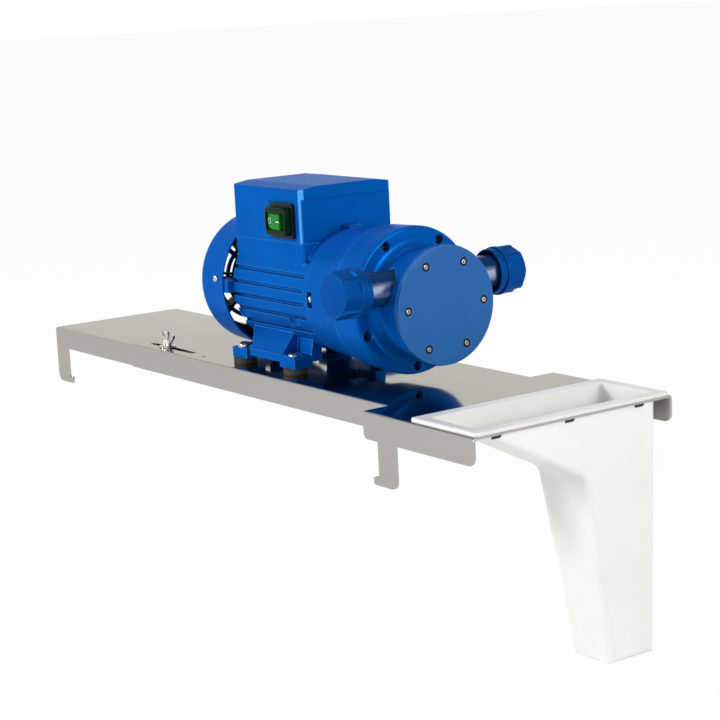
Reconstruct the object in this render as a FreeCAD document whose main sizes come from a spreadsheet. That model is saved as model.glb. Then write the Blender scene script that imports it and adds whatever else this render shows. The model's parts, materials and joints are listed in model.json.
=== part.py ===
import FreeCAD
import Part
import Sketcher
import math
import os

# Electric diaphragm pump on a hook-on console with a nozzle holder.
# Millimetres. X runs along the console towards the nozzle holder, Y away from the switch side, Z up.
# The origin lies midway between the long flanges, on top of the outer rail that the console hangs on.

sizes = {
    # Rails and console sheet metal
    "rail_pitch": 541,          # outer rail to inner rail, as the slide stands
    "rail_dia": 28,
    "sheet_thick": 2,
    "flange_drop": 22,          # top face above the rails
    "bend_radius": 3,           # outside of the folds
    "narrow_wide": 150,
    "wide_wide": 200,
    "main_inner": 416,          # outer rail to the console plate's inner end
    "main_outer": 132,          # outer rail to the console plate's outer end
    "wide_start": 4,            # the wide end begins this far inside the outer rail
    "hook_wide": 23,
    "hook_gap": 28.5,           # flange edge to hook lip
    "lip_thick": 6.5,
    "lip_reach": 7,
    "hook_round": 7,
    "flange_round": 5,
    # Slide
    "slide_long": 266,
    "slide_gap": 0.2,           # under the console plate
    "slide_side_gap": 0.4,      # beside the flanges
    "slot_inner": 402,          # outer rail to the slot's inner end
    "slot_long": 78,
    "slot_wide": 6.4,
    "slot_off": 59.5,           # slot line from the middle
    "stud_at": 373,             # outer rail to the clamp bolts
    "stud_dia": 6,
    "stud_high": 15,            # above the console plate
    "washer_dia": 16,
    "washer_thick": 1.2,
    "mark_hole_at": 302,
    "mark_hole_off": 63,
    "mark_hole_dia": 3.4,
    # Wing nuts
    "wing_hub_dia": 11,
    "wing_hub_high": 6,
    "wing_span": 26,
    "wing_high": 12,
    "wing_thick": 2.2,
    # Nozzle holder
    "rim_inner": 53,            # outer rail to the rim's inner edge
    "rim_wide": 195,
    "rim_high": 3,
    "chute_inner": 62,          # outer rail to the trough wall, at the sheet's underside
    "chute_outer": 126,
    "chute_far": 90,
    "chute_wall": 3,
    "shaft_inner": 72.5,        # the same walls at the shaft's foot
    "shaft_outer": 121,
    "shaft_near": 41.5,
    "shaft_far": 88,
    "shaft_deep": 209,          # foot below the sheet's underside
    "slope_start": 85,          # near end of the sloping floor
    "slope_end": 15,            # where the floor turns down into the shaft
    "slope_drop": 51,
    "cutout_gap": 0.5,
    "chute_round": 7,
    "clip_wide": 8,
    "clip_high": 3.5,
    "clip_proud": 2.2,
    "clip_pitch": 72,
    "clip_deep": 2.4,
    "clip_play": 0.3,
    # Feet and mounting
    "foot_mid": 211,            # outer rail to the middle of the feet
    "foot_pitch_long": 80,
    "foot_pitch_wide": 100,
    "foot_long": 99,
    "foot_edge": 57,            # outer edge of the feet from the middle
    "foot_deep": 19,
    "foot_thick": 9,
    "pad_long": 23,
    "notch_wide": 6,
    "notch_deep": 8,
    "web_lift": 4.5,            # web's underside above the pads' underside
    "web_top": 11,              # web's top above the foot plane
    "ramp_top": 34,             # ramp meets the frame this far above the foot plane
    "ramp_lean": 19,            # how far the ramp leans in
    "ramp_wall": 12,
    "rib_long": 22,
    "rib_lap": 2,               # rib reaches this far under the pads
    "buffer_high": 5,
    "buffer_dia": 21,
    "foot_bolt_dia": 6,
    "foot_bolt_head": 11.5,
    "foot_washer_dia": 12.5,
    "nut_across": 10,
    "nut_high": 5,
    # Motor
    "shaft_height": 63,
    "frame_rear": 258,          # outer rail to the frame's rear face
    "frame_front": 142,         # outer rail to the face towards the pump head
    "frame_bore": 92,
    "frame_wall": 3,            # casting under the fins
    "fin_high": 5,
    "fin_pitch": 12,
    "fin_groove": 3.6,
    "collar_long": 6,
    "lug_wide": 12,
    "lug_long": 10.5,
    "lug_rise": 4,              # housing screws outside the frame's bore
    "lug_cover": 7.5,           # lug metal outside a screw's line
    "screw_notch_wide": 14,
    "screw_notch_long": 10.5,
    "pan_screw_dia": 4,
    "pan_head_dia": 8.6,
    "housing_screw_long": 14,
    "shield_screw_long": 16,
    "stack_long": 66,
    "stack_mid": 203,
    "stator_bore": 51,
    "air_gap": 0.5,
    "winding_long": 14,
    "winding_gap": 3,           # winding to the frame's bore
    "rotor_shaft_dia": 18,
    "bearing_bore": 12,
    "bearing_dia": 32,
    "bearing_wide": 10,
    "bearing_balls": 7,
    "ball_dia": 5.5,
    "ring_wall": 2.4,
    "run_gap": 0.05,            # running clearance, each side
    "seat_gap": 0.1,            # assembled clearance, each side
    "cowl_gap": 6.4,            # fins to the cowl's inside
    "cowl_taper": 2.5,
    "cowl_front": 264,          # outer rail to the cowl's open rim
    "cowl_long": 44,
    "cowl_wall": 1.6,
    "cowl_round": 9,
    "ear_wide": 11,
    "ear_rear": 281,
    "cowl_screw_at": 275,
    "cowl_screw_head": 6.5,
    "fan_gap": 5.9,             # blade tips to the cowl
    "fan_long": 13,
    "fan_rear": 300,
    "fan_blades": 9,
    "shaft_rear": 299,
    # Terminal box
    "box_inner": 260,
    "box_outer": 153,
    "box_wide": 96,
    "box_seat_high": 45,        # seam above the shaft line
    "hump_thick": 2,            # box floor where it arches over the frame
    "lead_hole_dia": 10,
    "box_high": 37,             # cover's lower edge to the lid band's lower edge
    "band_high": 8.6,
    "crown_high": 2.4,
    "crown_wide": 62,
    "box_wall": 2.5,
    "box_round": 3.5,
    "gland_in": 62,             # box's outer end to the cable gland
    "capacitor_dia": 26,
    "capacitor_long": 62,
    "cover_wall": 2,
    # Switch
    "switch_at": 181,           # outer rail to the switch
    "switch_up": 63.5,          # switch centre above the shaft line
    "recess_wide": 40,          # shallow recess in the hood around the switch
    "recess_high": 33,
    "recess_deep": 1,
    "bezel_wide": 34,
    "bezel_high": 30,
    "bezel_proud": 2,
    "boot_wide": 30.5,
    "boot_high": 24,
    "boot_proud": 9,
    "boot_wall": 1.8,
    "case_wide": 24.8,
    "case_high": 22,
    "case_deep": 20,
    "rocker_wide": 23.2,
    "rocker_high": 13,
    "rocker_proud": 9.6,
    "rocker_tilt": 9,
    "rocker_pivot": 1.5,        # pivot line behind the cover's outer face
    # Pump head
    "housing_front": 108,
    "housing_rear_dia": 111,
    "housing_front_dia": 116,
    "housing_wall": 6,
    "carrier_front": 97,
    "ring_rear_dia": 121.6,
    "diaphragm_dia": 104,
    "diaphragm_thick": 2,
    "ring_front": 62,
    "ring_front_dia": 124,
    "boss_front": 23,
    "boss_waist_dia": 87,
    "boss_front_dia": 100,
    "boss_fillet": 9,
    "disc_dia": 98,
    "disc_thick": 3,
    "disc_screw_circle": 77.6,
    "disc_screws": 6,
    "disc_screw_dia": 4,
    "disc_screw_head": 7,
    "disc_sink_dia": 9.2,
    "disc_screw_long": 13,
    "head_screw_circle": 110,
    "head_screw_dia": 4,
    "head_screw_head": 7.2,
    "head_screw_hex": 3.2,
    "head_thread_deep": 6,
    "head_pocket_dia": 8.6,
    "head_pocket_deep": 9,
    "chamber_dia": 68,
    "valve_recess_dia": 96,
    "valve_plate_thick": 13,
    "divider_thick": 4,
    "chambers": 3,
    "chamber_circle": 52,
    "piston_dia": 26,
    "piston_screw_dia": 4,
    "piston_screw_long": 12,
    "piston_post_dia": 12,
    "journal_dia": 24,
    "journal_lean": 3,
    "journal_gap": 0.8,
    "hub_bearing_dia": 38,
    "hub_bearing_wide": 11,
    "wobble_dia": 84,
    "wobble_thick": 4,
    # Ports
    "port_at": 47.3,            # outer rail to the port line
    "port_up": 17,              # port line above the shaft line
    "port_end": 93,             # outer face of a cap from the middle
    "neck_dia": 29,
    "port_ring": 2.6,
    "thread_dia": 33.2,
    "port_bore": 23,
    "thread_long": 12,
    "fitting_root": 26,
    "cap_dia": 41,
    "cap_long": 27,
    "cap_wall": 3,
    "cap_rib_deep": 1.8,
    "cap_window_long": 12.5,
    "cap_windows": 8,
    "cap_collar_dia": 38.4,
    "cap_collar_long": 3,
    "cap_seal_thick": 2,
    "cap_gap": 0.3,
}


class Dim:
    # A number together with the sheet expression it comes from.
    def __init__(self, value, text):
        self.value = value
        self.text = text

    def __add__(self, other):
        return joined(self, other, "+")

    def __radd__(self, other):
        return joined(other, self, "+")

    def __sub__(self, other):
        return joined(self, other, "-")

    def __rsub__(self, other):
        return joined(other, self, "-")

    def __mul__(self, other):
        return joined(self, other, "*")

    def __rmul__(self, other):
        return joined(other, self, "*")

    def __truediv__(self, other):
        return joined(self, other, "/")

    def __neg__(self):
        return joined(0, self, "-")


def dim(number):
    if isinstance(number, Dim):
        return number
    return Dim(float(number), "(%.9g)" % number)


def joined(first, second, sign):
    first = dim(first)
    second = dim(second)
    results = {
        "+": lambda a, b: a + b,
        "-": lambda a, b: a - b,
        "*": lambda a, b: a * b,
        "/": lambda a, b: a / b,
    }
    value = results[sign](first.value, second.value)
    return Dim(value, "(%s %s %s)" % (first.text, sign, second.text))


def root(number):
    number = dim(number)
    return Dim(math.sqrt(number.value), "sqrt(%s)" % number.text)


def cosine(angle):
    angle = dim(angle)
    return Dim(math.cos(math.radians(angle.value)), "cos(%s)" % angle.text)


def sine(angle):
    angle = dim(angle)
    return Dim(math.sin(math.radians(angle.value)), "sin(%s)" % angle.text)


doc = FreeCAD.newDocument("DiaphragmPump")
sheet = doc.addObject("Spreadsheet::Sheet", "Sizes")


class Sheet:
    pass


s = Sheet()
for row, (name, value) in enumerate(sizes.items(), 1):
    sheet.set("A%d" % row, name)
    sheet.set("B%d" % row, str(value))
    sheet.setAlias("B%d" % row, name)
    setattr(s, name, Dim(float(value), "Sizes.%s" % name))
doc.recompute()

nodes = {}
x_axis = FreeCAD.Vector(1, 0, 0)
y_axis = FreeCAD.Vector(0, 1, 0)
z_axis = FreeCAD.Vector(0, 0, 1)
turned_to = {
    "x": FreeCAD.Rotation(y_axis, 90),
    "y": FreeCAD.Rotation(x_axis, -90),
    "z": FreeCAD.Rotation(),
}


# Binding and naming

def bind(thing, prop, value):
    thing.setExpression(prop, dim(value).text)


def seat(thing, at):
    for part, value in zip("xyz", at):
        bind(thing, "Placement.Base.%s" % part, value)


def node(name, thing):
    thing.Label = name
    nodes[name] = thing
    return thing


# Part primitives and booleans

def box(name, low, high):
    thing = doc.addObject("Part::Box", name)
    for prop, first, last in zip(("Length", "Width", "Height"), low, high):
        bind(thing, prop, dim(last) - first)
    seat(thing, low)
    return thing


def cylinder(name, axis, at, long, dia):
    thing = doc.addObject("Part::Cylinder", name)
    thing.Placement = FreeCAD.Placement(FreeCAD.Vector(), turned_to[axis])
    bind(thing, "Radius", dim(dia) / 2)
    bind(thing, "Height", long)
    seat(thing, at)
    return thing


def cone(name, axis, at, long, dia_start, dia_end):
    thing = doc.addObject("Part::Cone", name)
    thing.Placement = FreeCAD.Placement(FreeCAD.Vector(), turned_to[axis])
    bind(thing, "Radius1", dim(dia_start) / 2)
    bind(thing, "Radius2", dim(dia_end) / 2)
    bind(thing, "Height", long)
    seat(thing, at)
    return thing


def hexagon(name, axis, at, long, across):
    thing = doc.addObject("Part::Prism", name)
    thing.Placement = FreeCAD.Placement(FreeCAD.Vector(), turned_to[axis])
    thing.Polygon = 6
    bind(thing, "Circumradius", dim(across) / 2 / cosine(30))
    bind(thing, "Height", long)
    seat(thing, at)
    return thing


def ball(name, at, dia):
    thing = doc.addObject("Part::Sphere", name)
    bind(thing, "Radius", dim(dia) / 2)
    seat(thing, at)
    return thing


def cut(name, base, tool):
    thing = doc.addObject("Part::Cut", name)
    thing.Base = base
    thing.Tool = tool
    return thing


def common(name, base, tool):
    thing = doc.addObject("Part::Common", name)
    thing.Base = base
    thing.Tool = tool
    return thing


def fuse(name, things):
    thing = doc.addObject("Part::MultiFuse", name)
    thing.Shapes = things
    return thing


def group(name, things):
    thing = doc.addObject("Part::Compound", name)
    thing.Links = things
    return thing


def tube(name, axis, at, long, dia, bore):
    outer = cylinder(name + "_outer", axis, at, long, dia)
    inner = cylinder(name + "_inner", axis, at, long, bore)
    return cut(name, outer, inner)


def rounded(name, base, radius, chosen):
    # Part::Fillet keeps a number for each edge, so it is sized again whenever the macro runs
    doc.recompute()
    thing = doc.addObject("Part::Fillet", name)
    thing.Base = base
    edges = [i for i, edge in enumerate(base.Shape.Edges, 1) if chosen(edge)]
    thing.Edges = [(i, dim(radius).value, dim(radius).value) for i in edges]
    return thing


# Sketches and PartDesign bodies

planes = {"xy": "XY_Plane", "xz": "XZ_Plane", "yz": "YZ_Plane"}


def new_body(name):
    return doc.addObject("PartDesign::Body", name)


def new_sketch(body, name, plane, shift):
    # shift: along the sketch's own two directions, then along its normal
    sketch = body.newObject("Sketcher::SketchObject", name)
    for feature in body.Origin.OriginFeatures:
        if feature.Role == planes[plane]:
            sketch.AttachmentSupport = [(feature, "")]
    sketch.MapMode = "FlatFace"
    for part, value in zip("xyz", shift):
        bind(sketch, "AttachmentOffset.Base.%s" % part, value)
    return sketch


def fix_point(sketch, geometry, end, label, point):
    for kind, part, value in zip(("DistanceX", "DistanceY"), "uv", point):
        value = dim(value)
        rule = Sketcher.Constraint(kind, -1, 1, geometry, end, value.value)
        number = sketch.addConstraint(rule)
        sketch.renameConstraint(number, label + part)
        sketch.setExpression("Constraints.%s%s" % (label, part), value.text)


def polygon(sketch, points):
    first = sketch.GeometryCount
    count = len(points)
    places = [FreeCAD.Vector(dim(u).value, dim(v).value, 0) for u, v in points]
    for i in range(count):
        sketch.addGeometry(Part.LineSegment(places[i], places[(i + 1) % count]))
    for i in range(count):
        following = first + (i + 1) % count
        sketch.addConstraint(Sketcher.Constraint("Coincident", first + i, 2, following, 1))
    for i in range(count):
        fix_point(sketch, first + i, 1, "point%d" % (first + i), points[i])


def circle(sketch, at, dia):
    number = sketch.GeometryCount
    centre = FreeCAD.Vector(dim(at[0]).value, dim(at[1]).value, 0)
    radius = dim(dia) / 2
    sketch.addGeometry(Part.Circle(centre, z_axis, radius.value))
    fix_point(sketch, number, 3, "centre%d" % number, at)
    rule = sketch.addConstraint(Sketcher.Constraint("Radius", number, radius.value))
    sketch.renameConstraint(rule, "radius%d" % number)
    sketch.setExpression("Constraints.radius%d" % number, radius.text)


def rectangle(low, high):
    return [low, (high[0], low[1]), high, (low[0], high[1])]


def pad(body, name, sketch, long, backwards=False):
    thing = body.newObject("PartDesign::Pad", name)
    thing.Profile = sketch
    thing.Reversed = backwards
    bind(thing, "Length", long)
    sketch.Visibility = False
    return thing


def pocket(body, name, sketch, long, backwards=False):
    doc.recompute()
    before = body.Shape.Volume
    thing = body.newObject("PartDesign::Pocket", name)
    thing.Profile = sketch
    thing.Reversed = backwards
    bind(thing, "Length", long)
    doc.recompute()
    if body.Shape.Volume >= before - 1e-6:
        raise RuntimeError("%s cuts nothing" % name)
    return thing


def soften(body, name, radius, chosen):
    doc.recompute()
    base = body.Tip
    edges = ["Edge%d" % i for i, edge in enumerate(base.Shape.Edges, 1) if chosen(edge)]
    thing = body.newObject("PartDesign::Fillet", name)
    thing.Base = (base, edges)
    bind(thing, "Radius", radius)
    return thing


def bevel(body, name, size, chosen):
    doc.recompute()
    base = body.Tip
    edges = ["Edge%d" % i for i, edge in enumerate(base.Shape.Edges, 1) if chosen(edge)]
    thing = body.newObject("PartDesign::Chamfer", name)
    thing.Base = (base, edges)
    bind(thing, "Size", size)
    return thing


def lathe(name, axis, at, points, corners=()):
    # points: (along the axis, diameter); corners: (along, diameter, radius) to round
    body = new_body(name)
    x, y, z = [dim(value) for value in at]
    if axis == "x":
        sketch = new_sketch(body, name + "_profile", "xz", (x, z, -y))
        outline = [(along, dim(dia) / 2) for along, dia in points]
        about = "H_Axis"
    if axis == "y":
        sketch = new_sketch(body, name + "_profile", "yz", (y, z, x))
        outline = [(along, dim(dia) / 2) for along, dia in points]
        about = "H_Axis"
    if axis == "z":
        sketch = new_sketch(body, name + "_profile", "xz", (x, z, -y))
        outline = [(dim(dia) / 2, along) for along, dia in points]
        about = "V_Axis"
    polygon(sketch, outline)
    turn = body.newObject("PartDesign::Revolution", name + "_turn")
    turn.Profile = sketch
    turn.ReferenceAxis = (sketch, [about])
    turn.Angle = 360
    sketch.Visibility = False
    place = {"x": x, "y": y, "z": z}[axis].value
    for number, (along, dia, radius) in enumerate(corners):
        level = place + dim(along).value
        reach = dim(dia).value / 2

        def chosen(edge):
            on_circle = edge.Curve.TypeId == "Part::GeomCircle"
            if not on_circle or abs(edge.Curve.Radius - reach) > 1e-4:
                return False
            centre = edge.Curve.Center
            return abs({"x": centre.x, "y": centre.y, "z": centre.z}[axis] - level) < 1e-4
        soften(body, "%s_round%d" % (name, number), radius, chosen)
    return body


# Tests that choose edges

def near(first, second):
    return abs(first - dim(second).value) < 1e-3


def along(edge, axis):
    if edge.Curve.TypeId != "Part::GeomLine":
        return False
    direction = edge.Vertexes[-1].Point - edge.Vertexes[0].Point
    direction.normalize()
    return abs(direction.dot({"x": x_axis, "y": y_axis, "z": z_axis}[axis])) > 1 - 1e-6


def middle(edge):
    return edge.CenterOfMass


def edge_at(axis, **where):
    # picks straight edges along an axis whose middle has the stated coordinates, either sign of y
    def chosen(edge):
        if not along(edge, axis):
            return False
        centre = middle(edge)
        for part, value in where.items():
            if part == "side":
                ok = near(abs(centre.y), value)
            else:
                ok = near(getattr(centre, part), value)
            if not ok:
                return False
        return True
    return chosen


# Levels and lines that several pieces share

plate_top = s.flange_drop
sheet_under = s.flange_drop - s.sheet_thick
foot_plane = plate_top + s.buffer_high
axis_z = foot_plane + s.shaft_height
narrow_half = s.narrow_wide / 2
wide_half = s.wide_wide / 2
inner_rail = -s.rail_pitch
rail_half = s.rail_dia / 2
lip_top = -s.hook_gap
lip_low = -s.hook_gap - s.lip_thick
foot_bolts_x = (-s.foot_mid - s.foot_pitch_long / 2, -s.foot_mid + s.foot_pitch_long / 2)
foot_bolts_y = (-s.foot_pitch_wide / 2, s.foot_pitch_wide / 2)
foot_bolt_places = [(x, y) for x in foot_bolts_x for y in foot_bolts_y]
shaft_line = (0, 0, axis_z)


# Console

def hook_outline(leg_inside, direction, top):
    # direction +1: the hook stands outside the outer rail with its lip towards the inner one
    leg_outside = leg_inside + direction * s.hook_wide
    lip_end = leg_inside - direction * s.lip_reach
    return [
        (leg_inside, top),
        (leg_inside, lip_top),
        (lip_end, lip_top),
        (lip_end, lip_low),
        (leg_outside, lip_low),
        (leg_outside, top),
    ]


def add_hooks(body, name, outline, half):
    for label, start in (("near", half), ("far", s.sheet_thick - half)):
        sketch = new_sketch(body, "%s_hook_%s" % (name, label), "xz", (0, 0, start))
        polygon(sketch, outline)
        pad(body, "%s_hook_%s_pad" % (name, label), sketch, s.sheet_thick, backwards=True)


def folded_plate(name, outline, channels, half_edges):
    # A block with rounded long edges, hollowed from below to one sheet thickness
    body = new_body(name)
    top = channels[0]["top"]
    sketch = new_sketch(body, name + "_outline", "xy", (0, 0, 0))
    polygon(sketch, outline)
    pad(body, name + "_block", sketch, top)
    for number, half in enumerate(half_edges):
        soften(body, "%s_fold%d" % (name, number), s.bend_radius, edge_at("x", side=half, z=top))
    for number, channel in enumerate(channels):
        sketch = new_sketch(body, "%s_channel%d" % (name, number), "yz", (0, 0, channel["end"]))
        inside = channel["half"] - s.sheet_thick
        ceiling = top - s.sheet_thick
        polygon(sketch, rectangle((-inside, -s.sheet_thick), (inside, ceiling)))
        pocket(body, "%s_hollow%d" % (name, number), sketch, channel["long"])
    return body


def slot_cuts(body, name, top, places, wide):
    # each slot is a rectangle with a round hole at both ends
    sketch = new_sketch(body, name + "_straight", "xy", (0, 0, top))
    for start, end, y in places:
        polygon(sketch, rectangle((start + wide / 2, y - wide / 2), (end - wide / 2, y + wide / 2)))
    pocket(body, name + "_straight_cut", sketch, 3 * s.sheet_thick)
    sketch = new_sketch(body, name + "_ends", "xy", (0, 0, top))
    for start, end, y in places:
        circle(sketch, (start + wide / 2, y), wide)
        circle(sketch, (end - wide / 2, y), wide)
    pocket(body, name + "_ends_cut", sketch, 3 * s.sheet_thick)


def make_console_plate():
    outline = [
        (-s.main_inner, -narrow_half),
        (-s.wide_start, -narrow_half),
        (-s.wide_start, -wide_half),
        (s.main_outer, -wide_half),
        (s.main_outer, wide_half),
        (-s.wide_start, wide_half),
        (-s.wide_start, narrow_half),
        (-s.main_inner, narrow_half),
    ]
    narrow_long = s.main_inner - s.wide_start
    wide_long = s.main_outer + s.wide_start
    channels = [
        {"end": -s.wide_start, "long": narrow_long, "half": narrow_half, "top": plate_top},
        {"end": s.main_outer, "long": wide_long, "half": wide_half, "top": plate_top},
    ]
    body = folded_plate("console_plate_body", outline, channels, (narrow_half, wide_half))
    inner_round = s.bend_radius - s.sheet_thick
    for number, half in enumerate((narrow_half, wide_half)):
        inside = half - s.sheet_thick
        chosen = edge_at("x", side=inside, z=sheet_under)
        soften(body, "console_inner_fold%d" % number, inner_round, chosen)
    add_hooks(body, "console", hook_outline(rail_half, 1, s.bend_radius), wide_half)
    leg_end = rail_half + s.hook_wide
    edge_y = wide_half - s.sheet_thick / 2
    soften(body, "console_hook_round", s.hook_round, edge_at("y", x=leg_end, z=lip_low, side=edge_y))
    lip_x = rail_half - s.lip_reach
    soften(body, "console_lip_round", s.lip_thick / 3, edge_at("y", x=lip_x, side=edge_y))
    soften(body, "console_flange_start", s.flange_round, edge_at("y", x=-s.wide_start, z=0, side=edge_y))
    soften(body, "console_flange_end", s.hook_round, edge_at("y", x=s.main_outer, z=0, side=edge_y))
    slots = []
    for y in (-s.slot_off, s.slot_off):
        slots.append((-s.slot_inner, -s.slot_inner + s.slot_long, y))
    slot_cuts(body, "console_slots", plate_top, slots, s.slot_wide)
    sketch = new_sketch(body, "console_holes", "xy", (0, 0, plate_top))
    for y in (-s.mark_hole_off, s.mark_hole_off):
        circle(sketch, (-s.mark_hole_at, y), s.mark_hole_dia)
    for x, y in foot_bolt_places:
        circle(sketch, (x, y), s.foot_bolt_dia + 2 * s.seat_gap)
    pocket(body, "console_holes_cut", sketch, 3 * s.sheet_thick)
    sketch = new_sketch(body, "console_cutout", "xy", (0, 0, plate_top))
    trough_end = s.slope_start + s.sheet_thick / slope_fall()
    low = (s.chute_inner - s.cutout_gap, -trough_end - s.cutout_gap)
    high = (s.chute_outer + s.cutout_gap, s.chute_far + s.cutout_gap)
    polygon(sketch, rectangle(low, high))
    pocket(body, "console_cutout_cut", sketch, 3 * s.sheet_thick)

    def chosen(edge):
        centre = middle(edge)
        on_x = near(centre.x, low[0]) or near(centre.x, high[0])
        return along(edge, "z") and on_x and (near(centre.y, low[1]) or near(centre.y, high[1]))
    soften(body, "console_cutout_round", s.chute_round, chosen)
    node("console_plate", body)


def make_slide_plate():
    top = sheet_under - s.slide_gap
    half = narrow_half - s.sheet_thick - s.slide_side_gap
    start = inner_rail - rail_half - s.hook_wide
    end = start + s.slide_long
    outline = rectangle((start, -half), (end, half))
    channels = [{"end": end, "long": s.slide_long, "half": half, "top": top}]
    body = folded_plate("slide_plate_body", outline, channels, (half,))
    add_hooks(body, "slide", hook_outline(inner_rail - rail_half, -1, s.bend_radius), half)
    edge_y = half - s.sheet_thick / 2
    soften(body, "slide_hook_round", s.hook_round, edge_at("y", x=start, z=lip_low, side=edge_y))
    lip_x = inner_rail - rail_half + s.lip_reach
    soften(body, "slide_lip_round", s.lip_thick / 3, edge_at("y", x=lip_x, side=edge_y))
    sketch = new_sketch(body, "slide_holes", "xy", (0, 0, top))
    for y in (-s.slot_off, s.slot_off):
        circle(sketch, (-s.stud_at, y), s.stud_dia + 2 * s.seat_gap)
    pocket(body, "slide_holes_cut", sketch, 3 * s.sheet_thick)
    node("slide_plate", body)


def make_slide_bolts():
    head_top = sheet_under - s.slide_gap - s.sheet_thick
    head_high = s.stud_dia * 0.6
    washer_under = plate_top + s.slide_gap
    bolts = []
    washers = []
    for label, y in (("near", -s.slot_off), ("far", s.slot_off)):
        outline = [
            (-head_high, 0),
            (-head_high, 2 * s.stud_dia),
            (0, 2 * s.stud_dia),
            (0, s.stud_dia),
            (plate_top + s.stud_high - head_top, s.stud_dia),
            (plate_top + s.stud_high - head_top, 0),
        ]
        tip = (plate_top + s.stud_high - head_top, s.stud_dia, 0.8)
        bolts.append(lathe("slide_bolt_" + label, "z", (-s.stud_at, y, head_top), outline, [tip]))
        bore = s.stud_dia + 2 * s.seat_gap
        at = (-s.stud_at, y, washer_under)
        washers.append(tube("slide_washer_" + label, "z", at, s.washer_thick, s.washer_dia, bore))
    node("slide_bolts", group("slide_bolt_set", bolts))
    node("slide_washers", group("slide_washer_set", washers))


def make_wing_nuts():
    under = plate_top + s.slide_gap + s.washer_thick + s.slide_gap
    for label, y in (("near", -s.slot_off), ("far", s.slot_off)):
        name = "wing_nut_" + label
        at = (-s.stud_at, y, under)
        hub = cone(name + "_hub", "z", at, s.wing_hub_high, s.wing_hub_dia, s.wing_hub_dia * 0.8)
        wings = new_body(name + "_wings")
        sketch = new_sketch(wings, name + "_wing_sketch", "xz", (-s.stud_at, under, -y))
        reach = s.wing_span / 2
        for side in (-1, 1):
            polygon(sketch, [
                (side * s.stud_dia * 0.55, 1),
                (side * s.wing_hub_dia * 0.42, s.wing_hub_high * 0.2),
                (side * reach * 0.93, s.wing_high * 0.62),
                (side * reach, s.wing_high * 0.86),
                (side * reach * 0.86, s.wing_high),
                (side * reach * 0.62, s.wing_high * 0.94),
                (side * s.stud_dia * 0.55, s.wing_hub_high * 0.95),
            ])
        thing = wings.newObject("PartDesign::Pad", name + "_wing_pad")
        thing.Profile = sketch
        thing.Midplane = True
        bind(thing, "Length", s.wing_thick)
        bore = cylinder(name + "_bore", "z", at, s.wing_high, s.stud_dia + 2 * s.run_gap)
        solid = cut(name + "_nut", fuse(name + "_blank", [hub, wings]), bore)
        node(name, solid)


# Nozzle holder

def chute_form(name, inset, top, floor_rise, bend):
    # The trough and its shaft: a tapered block trimmed to the sloping side profile
    body = new_body(name + "_taper")
    foot = sheet_under - s.shaft_deep
    sections = []
    for label, level in (("top", top), ("foot", foot)):
        share = (sheet_under - level) / s.shaft_deep
        inner = s.chute_inner + inset + (s.shaft_inner - s.chute_inner) * share
        outer = s.chute_outer - inset - (s.chute_outer - s.shaft_outer) * share
        sketch = new_sketch(body, "%s_%s" % (name, label), "xy", (0, 0, level))
        polygon(sketch, rectangle((inner, -s.slope_start - 30), (outer, s.chute_far + 5)))
        sections.append(sketch)
    loft = body.newObject("PartDesign::AdditiveLoft", name + "_loft")
    loft.Profile = sections[0]
    loft.Sections = [sections[1]]
    loft.Ruled = True
    side = new_body(name + "_side")
    sketch = new_sketch(side, name + "_side_outline", "yz", (0, 0, s.chute_inner - 5))
    top_y = -s.slope_start - (top - sheet_under - floor_rise) / slope_fall()
    polygon(sketch, [
        (top_y, top),
        (s.slope_end + inset, sheet_under - s.slope_drop + floor_rise - inset * slope_fall()),
        (s.shaft_near + inset, foot + inset),
        (s.shaft_far - inset, foot + inset),
        (s.chute_far - inset, top),
    ])
    pad(side, name + "_side_pad", sketch, s.chute_outer - s.chute_inner + 10)
    form = common(name, body, side)
    bend_z = (sheet_under - s.slope_drop + floor_rise - inset * slope_fall()).value
    form = rounded(name + "_bend", form, bend,
                   lambda edge: along(edge, "x") and abs(middle(edge).z - bend_z) < 1)
    radius = s.chute_round - inset
    return rounded(name + "_round", form, radius,
                   lambda edge: not along(edge, "x") and edge.BoundBox.ZMin < top.value - 1)


def slope_fall():
    return s.slope_drop / (s.slope_start + s.slope_end)


def make_nozzle_holder():
    rise = s.chute_wall * root(1 + slope_fall() * slope_fall())
    outer = chute_form("chute_outside", dim(0), plate_top + 0, dim(0), 16 - s.chute_wall)
    inner = chute_form("chute_inside", s.chute_wall, plate_top + s.rim_high + 1, rise, dim(16))
    rim = new_body("holder_rim")
    sketch = new_sketch(rim, "holder_rim_outline", "xy", (0, 0, plate_top))
    half = s.rim_wide / 2
    polygon(sketch, rectangle((s.rim_inner, -half), (s.main_outer, half)))
    pad(rim, "holder_rim_pad", sketch, s.rim_high)

    def corner(edge):
        return along(edge, "z")

    def upper(edge):
        return near(edge.BoundBox.ZMin, plate_top + s.rim_high)
    soften(rim, "holder_rim_corners", s.chute_round / 2, corner)
    soften(rim, "holder_rim_top", s.rim_high / 2, upper)
    shell = cut("holder_shell", fuse("holder_solid", [outer, rim]), inner)
    pins = []
    clips = []
    for number in (-1, 0, 1):
        y = number * s.clip_pitch - 2
        for label, wall, out in (("outer", s.chute_outer, 1), ("inner", s.chute_inner, -1)):
            name = "clip_%s_%d" % (label, number + 2)
            start = wall - s.clip_deep if out > 0 else wall - 3
            pins.append(cylinder(name + "_hole", "x", (start, y, clip_level()), s.clip_deep + 3, 3.2))
            share = (sheet_under - clip_level()) / s.shaft_deep
            taper = s.shaft_inner - s.chute_inner if out < 0 else s.shaft_outer - s.chute_outer
            clips.append(make_clip(name, wall + taper * share, out, y))
    node("nozzle_holder", cut("holder_drilled", shell, fuse("clip_holes", pins)))
    node("holder_clips", group("clip_set", clips))


def clip_level():
    return sheet_under - s.clip_high / 2 - 0.5


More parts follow.
